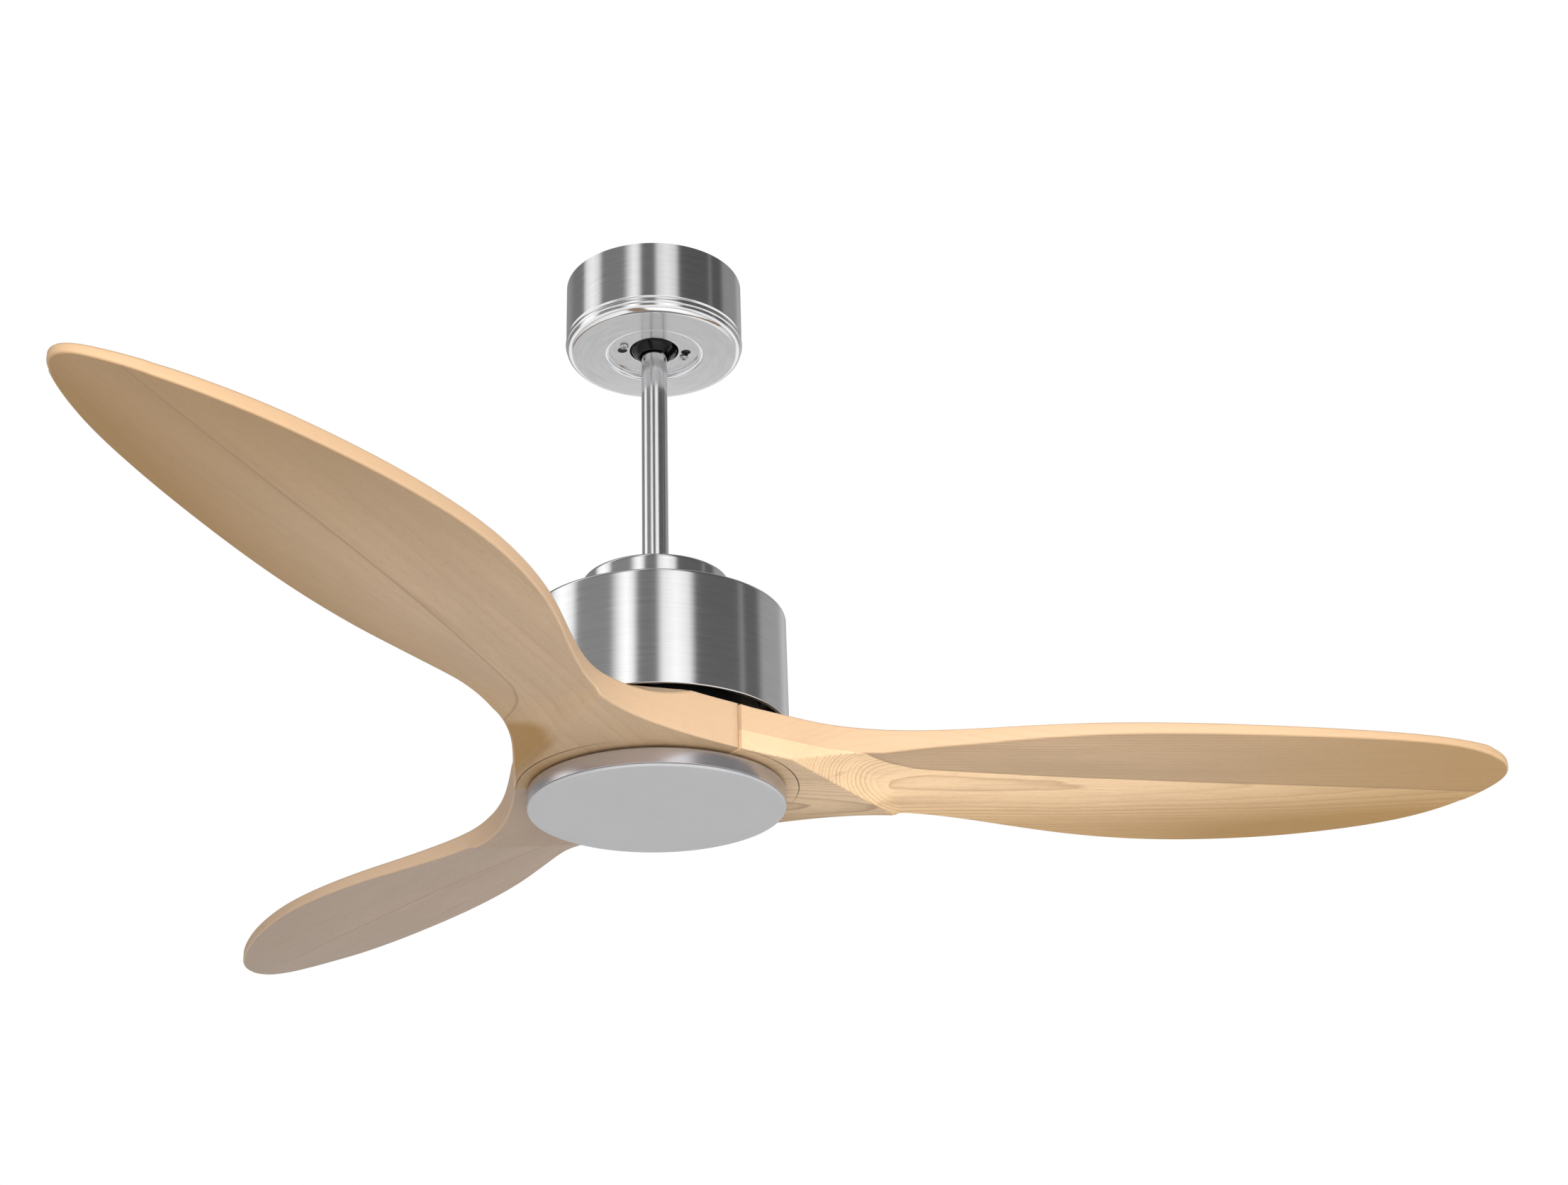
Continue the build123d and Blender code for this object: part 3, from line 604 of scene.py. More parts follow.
# radius, height of the underside on the middle line, rise towards the leading edge, thickness
CARVING = ((60, -432, 0.07, 30), (115, -428.6, 0.102, 21.7), (185, -425.2, 0.178, 14.9),
           (251, -423.6, 0.170, 11.6), (311, -422.6, 0.156, 10.0), (418, -421.6, 0.154, 9.5),
           (505, -421.0, 0.172, 9.7), (573, -420.3, 0.200, 9.6), (621, -419.5, 0.230, 8.4),
           (670, -418.6, 0.250, 5.6))
BLANK_TOP, BLANK_BOTTOM = -402.1, -436.0
CREASE_R, CREASE_SLANT = 148.0, 0.82
COVE_R, COVE_RISE = 62.0, 15.0
HUB_HOLE = 24.0
HUB_R = math.hypot(*OUTLINE[0])
SEAM_GAP = 0.1
HUB_ROWS = 26
BLADE_SCREWS = ((62.0, 0.0), (72.0, 34.0), (72.0, -34.0))


def natural_curve(points, steps):
    """Smooth curve through points, as a dense list; chord lengths set its pace."""
    count = len(points)
    pace = [0.0]
    for a, b in zip(points, points[1:]):
        pace.append(pace[-1] + math.hypot(b[0] - a[0], b[1] - a[1]))
    gap = [b - a for a, b in zip(pace, pace[1:])]
    bends = []
    for axis in (0, 1):
        low, mid, high, side = [0.0] * count, [1.0] * count, [0.0] * count, [0.0] * count
        for i in range(1, count - 1):
            low[i], mid[i], high[i] = gap[i - 1], 2 * (gap[i - 1] + gap[i]), gap[i]
            side[i] = 6 * ((points[i + 1][axis] - points[i][axis]) / gap[i]
                           - (points[i][axis] - points[i - 1][axis]) / gap[i - 1])
        for i in range(1, count):
            part = low[i] / mid[i - 1]
            mid[i] -= part * high[i - 1]
            side[i] -= part * side[i - 1]
        bend = [0.0] * count
        for i in range(count - 2, 0, -1):
            bend[i] = (side[i] - high[i] * bend[i + 1]) / mid[i]
        bends.append(bend)
    dense = []
    for i in range(count - 1):
        for k in range(steps):
            t = gap[i] * k / steps
            u = gap[i] - t
            dense.append(tuple(
                bends[a][i] * u ** 3 / (6 * gap[i]) + bends[a][i + 1] * t ** 3 / (6 * gap[i])
                + (points[i][a] / gap[i] - bends[a][i] * gap[i] / 6) * u
                + (points[i + 1][a] / gap[i] - bends[a][i + 1] * gap[i] / 6) * t for a in (0, 1)))
    dense.append(tuple(points[-1]))
    return dense


def table_at(table, x, column):
    """Smooth reading of a column of a table at x."""
    last = len(table) - 1
    i = 0
    while i < last - 1 and x > table[i + 1][0]:
        i += 1
    (x0, y0), (x1, y1) = [(table[k][0], table[k][column]) for k in (i, i + 1)]

    def slope(k):
        a, b = max(0, k - 1), min(last, k + 1)
        return (table[b][column] - table[a][column]) / (table[b][0] - table[a][0])

    t = min(1.0, max(0.0, (x - x0) / (x1 - x0)))
    span = x1 - x0
    return ((2 * t ** 3 - 3 * t ** 2 + 1) * y0 + (t ** 3 - 2 * t ** 2 + t) * span * slope(i)
            + (3 * t ** 2 - 2 * t ** 3) * y1 + (t ** 3 - t ** 2) * span * slope(i + 1))


def soft_min(a, b, blend):
    """Smaller of two heights, eased where they meet."""
    h = max(blend - abs(a - b), 0.0) / blend
    return min(a, b) - h * h * blend / 4


def cove_height(x, y, side):
    """How far the cove has cut in from the hub's face; side 1 is the underside, -1 the top."""
    along = ((x - CREASE_R) - side * CREASE_SLANT * y) / math.hypot(1, CREASE_SLANT)
    sweep = math.sqrt(2 * COVE_R * COVE_RISE - COVE_RISE ** 2)
    if along <= 0:
        return 0.0
    if along >= sweep:
        return COVE_RISE + (along - sweep) * 0.2
    return COVE_RISE - COVE_R + math.sqrt(COVE_R ** 2 - (sweep - along) ** 2)


def face_heights(x, y):
    """Heights of the underside and the top of a blade."""
    middle = table_at(CARVING, x, 1)
    rise = table_at(CARVING, x, 2)
    thick = table_at(CARVING, x, 3)
    under = middle - rise * y
    low_cove = cove_height(x, y, 1)
    low = max(soft_min(under, BLANK_BOTTOM + low_cove, 2.5 * min(1.0, low_cove / 4) + 0.01), BLANK_BOTTOM)
    high_cove = cove_height(x, y, -1)
    high = -soft_min(-(under + thick), -(BLANK_TOP - high_cove), 2.5 * min(1.0, high_cove / 4) + 0.01)
    return low, min(high, BLANK_TOP)


def reading(curve, x):
    """Distance to the side of an outline curve at x; the curve's x only grows."""
    for a, b in zip(curve, curve[1:]):
        if a[0] <= x <= b[0]:
            t = (x - a[0]) / (b[0] - a[0]) if b[0] > a[0] else 0.0
            return a[1] + (b[1] - a[1]) * t
    return curve[-1][1]


def ease(t):
    """Slow start and slow end between 0 and 1."""
    return t * t * (3 - 2 * t)


def blade_rows(columns):
    """Rows of plan points that cover one blade, from the hub hole to the tip; each runs from the
    leading side to the trailing side, and one of them lies on the crease."""
    dense = natural_curve(OUTLINE, 24)
    cut_a = 24 * OUTLINE.index(TRAILING_END)
    cut_b = 24 * OUTLINE.index(LEADING_END)
    trailing = dense[:cut_a + 1]
    tip = dense[cut_a:cut_b + 1]
    leading = [(x, -y) for x, y in reversed(dense[cut_b:])]
    sixty = math.pi / 3
    steps = [2 * k / columns - 1 for k in range(columns + 1)]

    def meets(curve, start, slant):
        """Where a slanted row that crosses the middle line at start meets an outline curve."""
        low, high = 53.0, 636.0
        for _ in range(50):
            mid = (low + high) / 2
            if mid - slant * reading(curve, mid) > start:
                high = mid
            else:
                low = mid
        return mid

    def row(lead_x, trail_x, bulge, arc):
        """One row between two places on the sides; arc is 1 for a hub arc and 0 for a straight row."""
        wl, wt = reading(leading, lead_x), reading(trailing, trail_x)
        points = []
        for s in steps:
            f = arc * math.sin(sixty * s) / math.sin(sixty) + (1 - arc) * s
            y = f * (wt if s > 0 else wl)
            x = lead_x + (trail_x - lead_x) * (y + wl) / (wt + wl)
            points.append((x + bulge * (math.cos(sixty * s) - 0.5) * 2, y))
        return points

    rows = []
    for i in range(HUB_ROWS):
        radius = HUB_HOLE + (HUB_R - HUB_HOLE) * i / HUB_ROWS
        edge = sixty - SEAM_GAP / radius
        rows.append([(radius * math.cos(edge * s), radius * math.sin(edge * s)) for s in steps])
    crotch_x = OUTLINE[0][0]
    start = (crotch_x, crotch_x, HUB_R - crotch_x, 1.0)
    crease = (meets(leading, CREASE_R, -CREASE_SLANT), meets(trailing, CREASE_R, CREASE_SLANT), 0.0, 0.0)
    cove_end = CREASE_R + 62.0
    after = (meets(leading, cove_end, -CREASE_SLANT), meets(trailing, cove_end, CREASE_SLANT), 0.0, 0.0)
    for first, last, count in ((start, crease, 42), (crease, after, 44), (after, (330, 330, 0, 0), 36),
                               ((330, 330, 0, 0), (560, 560, 0, 0), 56)):
        for i in range(count):
            t = i / count
            rows.append(row(*[a + (b - a) * t for a, b in zip(first, last)]))
    tip_turn = list(reversed(tip))
    pace = [0.0]
    for a, b in zip(tip_turn, tip_turn[1:]):
        pace.append(pace[-1] + math.dist(a, b))
    last_row = []
    for s in steps:
        want = pace[-1] * (s + 1) / 2
        k = max(i for i in range(len(pace) - 1) if pace[i] <= want + 1e-9)
        t = (want - pace[k]) / (pace[k + 1] - pace[k])
        last_row.append(tuple(tip_turn[k][a] + (tip_turn[k + 1][a] - tip_turn[k][a]) * t for a in (0, 1)))
    lead_end, trail_end = last_row[0][0], last_row[-1][0]
    tip_rows = 40
    for i in range(tip_rows + 1):
        t = i / tip_rows
        plain = row(560 + (lead_end - 560) * t, 560 + (trail_end - 560) * t, 0.0, 0.0)
        near = t * t
        middle = [(p[0] + near * (q[0] - (lead_end + trail_end) / 2), p[1] + near * (q[1] - r[1]))
                  for p, q, r in zip(plain, last_row, row(lead_end, trail_end, 0.0, 0.0))]
        rows.append(middle)
    rows[-1] = last_row
    return rows


def inset(loop, distances):
    """Closed loop of plan points moved inwards by a distance each; corners are mitred."""
    moved = []
    count = len(loop)
    for i, (x, y) in enumerate(loop):
        ax, ay = loop[i - 1]
        bx, by = loop[(i + 1) % count]
        u = Vector((x - ax, y - ay)).normalized()
        v = Vector((bx - x, by - y)).normalized()
        n1, n2 = Vector((-u.y, u.x)), Vector((-v.y, v.x))
        shift = (n1 + n2) / (1 + n1.dot(n2)) * distances[i]
        moved.append((x + shift.x, y + shift.y))
    return moved


def blade_mesh(name, columns, edge, seam):
    """Mesh of one blade along +X: two carved faces, rounded rims and upright walls, in metres."""
    rows = blade_rows(columns)
    last = len(rows) - 1
    # the rim runs anticlockwise: leading side, tip, trailing side, hub hole
    rim = [(i, 0) for i in range(last)] + [(last, k) for k in range(columns)]
    rim += [(i, columns) for i in range(last, 0, -1)] + [(0, k) for k in range(columns, 0, -1)]
    loop = [rows[i][k] for i, k in rim]
    corners = ((HUB_ROWS, 0), (HUB_ROWS, columns), (0, 0), (0, columns))
    reach = [seam + (edge - seam) * ease(min(1.0, max(0, i - HUB_ROWS) / 14)) for i, k in rim]
    corner_r, corner_steps = 0.7, 4

    def ring_at(distances):
        """Plan points of one ring, a list per rim point; corners get a small round."""
        points = inset(loop, distances)
        core = inset(loop, [corner_r] * len(loop))
        groups = []
        for j, key in enumerate(rim):
            spare = corner_r - distances[j]
            if key not in corners:
                groups.append([points[j]])
            elif spare <= 0:
                groups.append([points[j]] * corner_steps)
            else:
                before = Vector(loop[j]) - Vector(loop[j - 1])
                after = Vector(loop[(j + 1) % len(loop)]) - Vector(loop[j])
                first = math.atan2(-before.x, before.y)
                turn = (math.atan2(-after.x, after.y) - first + math.pi) % (2 * math.pi) - math.pi
                fan = []
                for step in range(corner_steps):
                    angle = first + turn * step / (corner_steps - 1)
                    fan.append((core[j][0] - spare * math.cos(angle), core[j][1] - spare * math.sin(angle)))
                groups.append(fan)
        return groups

    inner = inset(loop, [r + 0.5 for r in reach])
    place = dict(zip(rim, inner))
    for i in range(1, last):
        lead = Vector(place[(i, 0)]) - Vector(rows[i][0])
        trail = Vector(place[(i, columns)]) - Vector(rows[i][columns])
        for k in range(1, columns):
            t = k / columns
            place[(i, k)] = tuple(Vector(rows[i][k]) + lead * (1 - t) + trail * t)
    pull = 5
    for k in range(1, columns):
        for end, inward in ((0, 1), (last, -1)):
            shift = Vector(place[(end, k)]) - Vector(rows[end][k])
            for step in range(1, pull):
                i = end + inward * step
                place[(i, k)] = tuple(Vector(place[(i, k)]) + shift * (1 - step / pull))

    verts, faces, index = [], [], {}
    for side in (0, 1):
        for i in range(last + 1):
            for k in range(columns + 1):
                x, y = place[(i, k)]
                index[(side, i, k)] = len(verts)
                verts.append((x, y, face_heights(x, y)[side]))
        for i in range(last):
            for k in range(columns):
                quad = [index[(side, i, k)], index[(side, i, k + 1)],
                        index[(side, i + 1, k + 1)], index[(side, i + 1, k)]]
                faces.append(quad if side == 0 else quad[::-1])

    arcs = 5
    edge_share = {}
    rings = [[[index[(0, i, k)]] * (corner_steps if (i, k) in corners else 1) for i, k in rim]]
    for side in (0, 1):
        for j in range(arcs + 1):
            angle = math.pi / 2 * (j if side == 0 else arcs - j) / arcs
            groups = ring_at([r * (1 - math.sin(angle)) for r in reach])
            ring_index = []
            for group, r in zip(groups, reach):
                members = []
                for x, y in group:
                    lift = r * (1 - math.cos(angle))
                    members.append(len(verts))
                    edge_share[len(verts)] = math.sin(angle)
                    verts.append((x, y, face_heights(x, y)[side] + (lift if side == 0 else -lift)))
                ring_index.append(members)
            rings.append(ring_index)
    rings.append([[index[(1, i, k)]] * (corner_steps if (i, k) in corners else 1) for i, k in rim])
    flat = [[v for group in ring_index for v in group] for ring_index in rings]
    count = len(flat[0])
    for a, b in zip(flat, flat[1:]):
        for j in range(count):
            n = (j + 1) % count
            unique = list(dict.fromkeys((a[j], a[n], b[n], b[j])))
            if len(unique) > 2:
                faces.append(unique)
    mesh = bpy.data.meshes.new(name)
    mesh.from_pydata([(x * MM, y * MM, z * MM) for x, y, z in verts], [], faces)
    mesh.update()
    # how upright each rim point is, 1 on the walls; the blade finish paints the edges paler with it as
    # painted light
    wall = mesh.attributes.new("rim", "FLOAT", "POINT")
    wall.data.foreach_set("value", [edge_share.get(v, 0.0) for v in range(len(verts))])
    return mesh


# ---------------------------------------------------------------- finishes


def finish(name):
    """The finish of that name, made on first use."""
    if name not in bpy.data.materials:
        FINISHES[name](name)
    return bpy.data.materials[name]


def settings():
    """Sizes and colours of the fan."""
    scene = bpy.context.scene
    return scene.fan_sizes, scene.fan_colours


def wood_finish(number):
    """Finish of one of the three blades."""
    sizes, colours = settings()
    pale, grey, rim, warm = colours.pale_wood, colours.grey_wood, colours.lit_edge_wood, colours.warm_wood
    ash = (grey[0] * 0.76, grey[1] * 0.80, grey[2] * 0.95)
    # each blade's edge colour is painted light on its upright edges, weaker on the second and third blade
    logs = (
        # the first blade's last setting darkens its flat hub: painted shade where the cove takes more light
        dict(lower=dict(Pith_Y=0.030, Pith_Z=-0.284, Lean_Z=-0.021, Ring_width=0.0014,
                        Wander=0.0032, Seed=1.3),
             upper=dict(Pith_Y=-0.200, Pith_Z=-0.300, Lean_Y=0.02, Ring_width=0.0035,
                        Wander=0.008, Seed=7.9),
             glue=-0.4216, lower_tint=pale, upper_tint=shade(grey, 1.05)[:3], edge_light_tint=rim, warm_side=1,
             warm_and_root_shade_tint=warm, painted_root_shade=0.0, lines=(0.85, 0.55), painted_hub_shade=0.74),
        # the second blade's darker golden colour also paints shade on its cove at the root, near the leading
        # side
        dict(lower=dict(Pith_Y=0.420, Pith_Z=-0.320, Lean_Y=-0.06, Ring_width=0.011, Wander=0.012, Seed=3.1),
             upper=dict(Pith_Y=-0.200, Pith_Z=-0.250, Lean_Y=0.05, Ring_width=0.008, Wander=0.010, Seed=5.2),
             glue=-0.4223, lower_tint=grey, upper_tint=grey, edge_light_tint=shade(rim, 0.92)[:3], warm_side=-1,
             warm_and_root_shade_tint=(warm[0] * 0.80, warm[1] * 0.75, warm[2] * 0.55), painted_root_shade=1.0,
             lines=(0.30, 0.16), painted_hub_shade=1.0),
        dict(lower=dict(Pith_Y=-0.300, Pith_Z=-0.300, Lean_Y=0.02, Ring_width=0.009, Wander=0.010, Seed=9.4),
             upper=dict(Pith_Y=0.250, Pith_Z=-0.300, Lean_Y=-0.02, Ring_width=0.007, Wander=0.010, Seed=2.6),
             glue=-0.4218, lower_tint=ash, upper_tint=ash, edge_light_tint=shade(rim, 0.8)[:3], warm_side=1,
             warm_and_root_shade_tint=shade(ash, 0.85)[:3], painted_root_shade=0.0, lines=(0.30, 0.30), painted_hub_shade=1.0))
    azimuth = sizes.first_blade - math.radians(120) * number
    return carved_wood(f"blade_wood_{number + 1}", azimuth, **logs[number])


FINISHES = {
    "satin_nickel": lambda name: brushed_metal(name, settings()[1].metal),
    "pan_nickel": lambda name: brushed_metal(name, (0.58, 0.56, 0.58), lines=1300, streak=3,
                                             rough=(0.22, 0.28), metallic=0.9),
    "glossy_black": glossy_black,
    "drawn_tube": lambda name: brushed_metal(name, settings()[1].metal, lines=500, streak=6,
                                             rough=(0.12, 0.17), depth=0.00001),
    "zinc_plate": lambda name: grained(name, (0.55, 0.55, 0.56), (0.25, 0.4), 1.0, 2500),
    "satin_black": lambda name: grained(name, (0.012, 0.012, 0.014), (0.28, 0.42), 0.0, 1800),
    "cast_aluminium": lambda name: grained(name, (0.52, 0.52, 0.53), (0.4, 0.6), 1.0, 1100, 0.0001, 0.5),
    "core_sheets": laminated_steel,
    "winding_copper": wound_copper,
    "magnet_plate": lambda name: grained(name, (0.20, 0.20, 0.21), (0.25, 0.4), 1.0, 2000),
    "black_plastic": lambda name: grained(name, (0.02, 0.02, 0.022), (0.4, 0.55), 0.0, 2200, 0.00006, 0.5),
    "white_plastic": lambda name: grained(name, (0.72, 0.72, 0.70), (0.35, 0.5), 0.0, 2200),
    "opal_diffuser": lambda name: opal_plastic(name, settings()[1].opal),
    "board_white": lambda name: grained(name, (0.80, 0.81, 0.80), (0.3, 0.45), 0.0, 1600),
    "chip_amber": lambda name: grained(name, (0.86, 0.62, 0.12), (0.25, 0.4), 0.0, 3000),
    "cable_sheath": lambda name: grained(name, (0.05, 0.05, 0.055), (0.4, 0.5), 0.0, 1500),
    "blade_wood_1": lambda name: wood_finish(0),
    "blade_wood_2": lambda name: wood_finish(1),
    "blade_wood_3": lambda name: wood_finish(2),
}

SLOT_FINISH = {
    "brushed": "satin_nickel", "zinc_steel": "zinc_plate", "black_metal": "satin_black",
    "cast_aluminium": "cast_aluminium", "core_steel": "core_sheets", "copper": "winding_copper",
    "magnet": "magnet_plate", "wood": "blade_wood_1", "black_plastic": "black_plastic",
    "white_plastic": "white_plastic", "opal": "opal_diffuser", "board": "board_white",
    "led": "chip_amber", "cable": "cable_sheath",
}


# ---------------------------------------------------------------- pieces


# parts whose surface is painted over the metal of their slot
NODE_FINISH = {"rotor_upper_cover": "satin_black", "rotor_lower_cover": "satin_black"}


class FanStep:
    """Shared by all the building steps."""

    bl_options = {"REGISTER", "UNDO"}


class FAN_OT_groups(FanStep, bpy.types.Operator):
    """Makes the shared node groups for brushing, wood and small surface grain"""

    bl_idname = "fan.groups"
    bl_label = "Shared Patterns"

    def execute(self, context):
        brush_group()
        wood_group()
        speckle_group()
        return {"FINISHED"}


class FAN_OT_canopy(FanStep, bpy.types.Operator):
    """Builds the ceiling canopy with its bead, recessed disc, rod hole and two keyholes"""

    bl_idname = "fan.canopy"
    bl_label = "Canopy"

    def execute(self, context):
        outline = [(71.0, -0.5, 0), (71.0, -49.2, 0.8), (70.1, -50.7, 0.4), (70.1, -51.7, 0.3)]
        outline += [(r, z, 0) for r, z in arc((70.6, -52.0), (71.4, -53.6), (70.6, -55.8), 7)]
        outline += [(r, z, 0) for r, z in arc((70.6, -55.8), (69.1, -60.1), (65.8, -62.1), 9)[1:]]
        outline += [(65.3, -62.1, 0), (40.3, -62.1, 0)]
        outline += [(r, z, 0) for r, z in arc((39.8, -62.1), (37.9, -61.4), (37.2, -59.4), 7)]
        outline += [(37.2, -57.5, 0.5), (19.8, -57.5, 0.4), (19.8, -56.3, 0.4), (38.5, -56.3, 0.4),
                    (38.5, -60.9, 0.8), (65.2, -60.9, 0.8), (69.4, -56.2, 1.0), (69.4, -0.5, 0)]
        canopy = turned("canopy_shell", rounded(outline, 3))
        for side in (0, 1):
            cut(canopy, keyhole_cutter(math.radians(180 * side)))
        smooth(canopy)
        fit(canopy, "canopy_cover", "brushed", finish("satin_nickel"), "canopy")
        return {"FINISHED"}


class FAN_OT_canopy_screws(FanStep, bpy.types.Operator):
    """Builds the two pan-head screws that stand in the canopy's keyholes"""

    bl_idname = "fan.canopy_screws"
    bl_label = "Canopy Screws"

    def execute(self, context):
        seat = -57.7
        outline = [(0.0, seat + 8.4, 0), (1.5, seat + 8.4, 0), (1.9, seat + 7.9, 0), (1.9, seat, 0),
                   (3.4, seat, 0.15), (3.4, seat - 0.9, 0)]
        head = arc((3.4, seat - 0.9), (2.5, seat - 1.85), (0.0, seat - 2.2), 8)
        outline += [(r, z, 0) for r, z in head[1:]]
        screw = turned("canopy_screw", rounded(outline, 3), closed=False, steps=40)
        for turn in (0, math.pi / 2):
            cut(screw, bar_cutter((3.3, 0.75, 2.4), (0, 0, seat - 2.1), turn + 0.5))
        smooth(screw)
        places = []
        for turn in (20, 200):
            places.append(Matrix.Rotation(math.radians(turn), 4, "Z") @ Matrix.Translation((25.7 * MM, 0, 0)))
        pair = copies(screw, places)
        for piece in pair:
            fit(piece, "hanger", "zinc_steel", finish("zinc_plate"), "canopy_screws")
        return {"FINISHED"}


class FAN_OT_hanger_ball(FanStep, bpy.types.Operator):
    """Builds the black hanger ball with its registration groove"""

    bl_idname = "fan.hanger_ball"
    bl_label = "Hanger Ball"

    def execute(self, context):
        mid, radius, top, bottom = -45.4, 22.0, -30.0, -63.0
        first = math.asin((top - mid) / radius)
        last = math.asin((bottom - mid) / radius)
        outline = [(10.35, top, 0.3)]
        for k in range(25):
            angle = first + (last - first) * k / 24
            outline.append((radius * math.cos(angle), mid + radius * math.sin(angle), 0))
        outline += [(11.9, bottom, 0.25), (11.9, bottom + 4, 0), (10.35, bottom + 4, 0)]
        ball = turned("hanger_ball_black", rounded(outline, 3))
        turn = math.radians(-25)
        floor_r = 19.2
        middle = Matrix.Rotation(turn, 3, "Z") @ Vector((floor_r, 0, mid))
        groove = bar_cutter((2 * floor_r, 9, 60), middle, turn)
        core = rod_cutter(floor_r, 0, 0, -30, 30, 96)
        core.matrix_world = (Matrix.Translation((0, 0, mid * MM)) @ Matrix.Rotation(turn, 4, "Z")
                             @ Matrix.Rotation(math.pi / 2, 4, "X"))
        cut(groove, core)
        cut(ball, groove)
        smooth(ball)
        fit(ball, "suspension", "black_plastic", finish("glossy_black"), "hanger_ball")
        return {"FINISHED"}


class FAN_OT_downrod(FanStep, bpy.types.Operator):
    """Builds the down rod, a brushed tube with a cross hole near each end"""

    bl_idname = "fan.downrod"
    bl_label = "Down Rod"

    def execute(self, context):
        outline = [(8.6, -33, 0.3), (10.3, -33, 0.5), (10.3, -285.5, 0.5), (8.6, -285.5, 0.3)]
        rod = turned("rod_tube", rounded(outline), steps=96)
        turn = Matrix.Rotation(math.radians(-25), 4, "Z") @ Matrix.Rotation(math.pi / 2, 4, "X")
        for height, radius in ((-45.4, 2.52), (-277.0, 3.02)):
            drill = rod_cutter(radius, 0, 0, -30, 30)
            drill.matrix_world = Matrix.Translation((0, 0, height * MM)) @ turn
            cut(rod, drill)
        smooth(rod)
        fit(rod, "suspension", "brushed", finish("drawn_tube"), "downrod")
        return {"FINISHED"}


class FAN_OT_coupling_cap(FanStep, bpy.types.Operator):
    """Builds the low round cover over the rod's yoke"""

    bl_idname = "fan.coupling_cap"
    bl_label = "Coupling Cover"

    def execute(self, context):
        outline = [(10.8, -267.0, 0.4), (57.0, -267.0, 3.0), (57.0, -299.9, 0.4), (55.8, -299.9, 0.4),
                   (55.8, -268.2, 2.0), (10.8, -268.2, 0.4)]
        cover = turned("coupling_cover", rounded(outline, 7))
        fit(cover, "cap", "brushed", finish("satin_nickel"), "coupling_cap")
        return {"FINISHED"}


class FAN_OT_motor_housing(FanStep, bpy.types.Operator):
    """Builds the motor can with its rolled lower lip"""

    bl_idname = "fan.motor_housing"
    bl_label = "Motor Can"

    def execute(self, context):
        outline = [(17.6, -300.0, 0.3), (99.5, -300.0, 2.6), (99.5, -391.0, 1.2), (96.7, -391.0, 1.0),
                   (96.7, -389.8, 0.2), (98.3, -389.8, 0.3), (98.3, -301.2, 1.5), (17.6, -301.2, 0.3)]
        can = turned("motor_can", rounded(outline, 7), steps=200)
        for k in range(4):
            angle = math.radians(45 + 90 * k)
            cut(can, rod_cutter(2.3, 31 * math.cos(angle), 31 * math.sin(angle), -304, -297))
        smooth(can)
        fit(can, "suspension", "brushed", finish("satin_nickel"), "motor_housing")
        return {"FINISHED"}


class FAN_OT_blades(FanStep, bpy.types.Operator):
    """Carves one blade, drills it for its screws and copies it round the hub"""

    bl_idname = "fan.blades"
    bl_label = "Blades"

    def execute(self, context):
        sizes = settings()[0]
        mesh = blade_mesh("carved_blade", sizes.blade_columns, sizes.blade_edge / MM, sizes.seam_edge / MM)
        blade = bpy.data.objects.new("carved_blade", mesh)
        bpy.context.collection.objects.link(blade)
        deselect()
        blade.select_set(True)
        bpy.context.view_layer.objects.active = blade
        bpy.ops.object.mode_set(mode="EDIT")
        bpy.ops.mesh.select_all(action="SELECT")
        bpy.ops.mesh.remove_doubles(threshold=0.0000001)
        bpy.ops.object.mode_set(mode="OBJECT")
        for x, y in BLADE_SCREWS:
            cut(blade, rod_cutter(8.0, x, y, -440, -428, 36))
            cut(blade, rod_cutter(2.8, x, y, -440, -400, 20))
        smooth(blade, 30)
        turns = [Matrix.Rotation(sizes.first_blade - math.radians(120) * i, 4, "Z") for i in range(3)]
        for i, piece in enumerate(copies(blade, turns)):
            fit(piece, "rotor", "wood", finish(f"blade_wood_{i + 1}"), f"blade_{i + 1}")
        return {"FINISHED"}


class FAN_OT_light_pan(FanStep, bpy.types.Operator):
    """Builds the brushed pan that carries the light"""

    bl_idname = "fan.light_pan"
    bl_label = "Light Pan"

    def execute(self, context):
        outline = [(8.55, -438.0, 0.2), (95.5, -438.0, 0.9), (95.5, -449.6, 0.35), (94.0, -449.6, 0.3),
                   (94.0, -439.5, 0.5), (8.55, -439.5, 0.2)]
        pan = turned("light_pan_ring", rounded(outline, 5), steps=200)
        fit(pan, "suspension", "brushed", finish("pan_nickel"), "light_pan")
        return {"FINISHED"}


class FAN_OT_diffuser(FanStep, bpy.types.Operator):
    """Builds the opal disc of the light with the skirt that holds it"""

    bl_idname = "fan.diffuser"
    bl_label = "Opal Diffuser"

    def execute(self, context):
        outline = [(0, -449.8, 0), (90.6, -449.8, 0.3), (90.6, -443.8, 0.3), (92.4, -443.8, 0.3),
                   (92.4, -449.8, 0.2), (95.5, -449.8, 0.25), (95.5, -452.0, 1.7), (0, -452.0, 0)]
        disc = turned("opal_disc", rounded(outline, 6), closed=False, steps=200)
        fit(disc, "lens", "opal", finish("opal_diffuser"), "diffuser")
        return {"FINISHED"}


class FAN_OT_inner_parts(FanStep, bpy.types.Operator):
    """Gives every remaining part of the frame its finish"""

    bl_idname = "fan.inner_parts"
    bl_label = "Inner Parts"

    def execute(self, context):
        for row in frame["record"]["subparts"]:
            part = frame["nodes"][row["node"]]
            dress(part, finish(NODE_FINISH.get(row["node"], SLOT_FINISH[row["material_slot"]])))
        return {"FINISHED"}


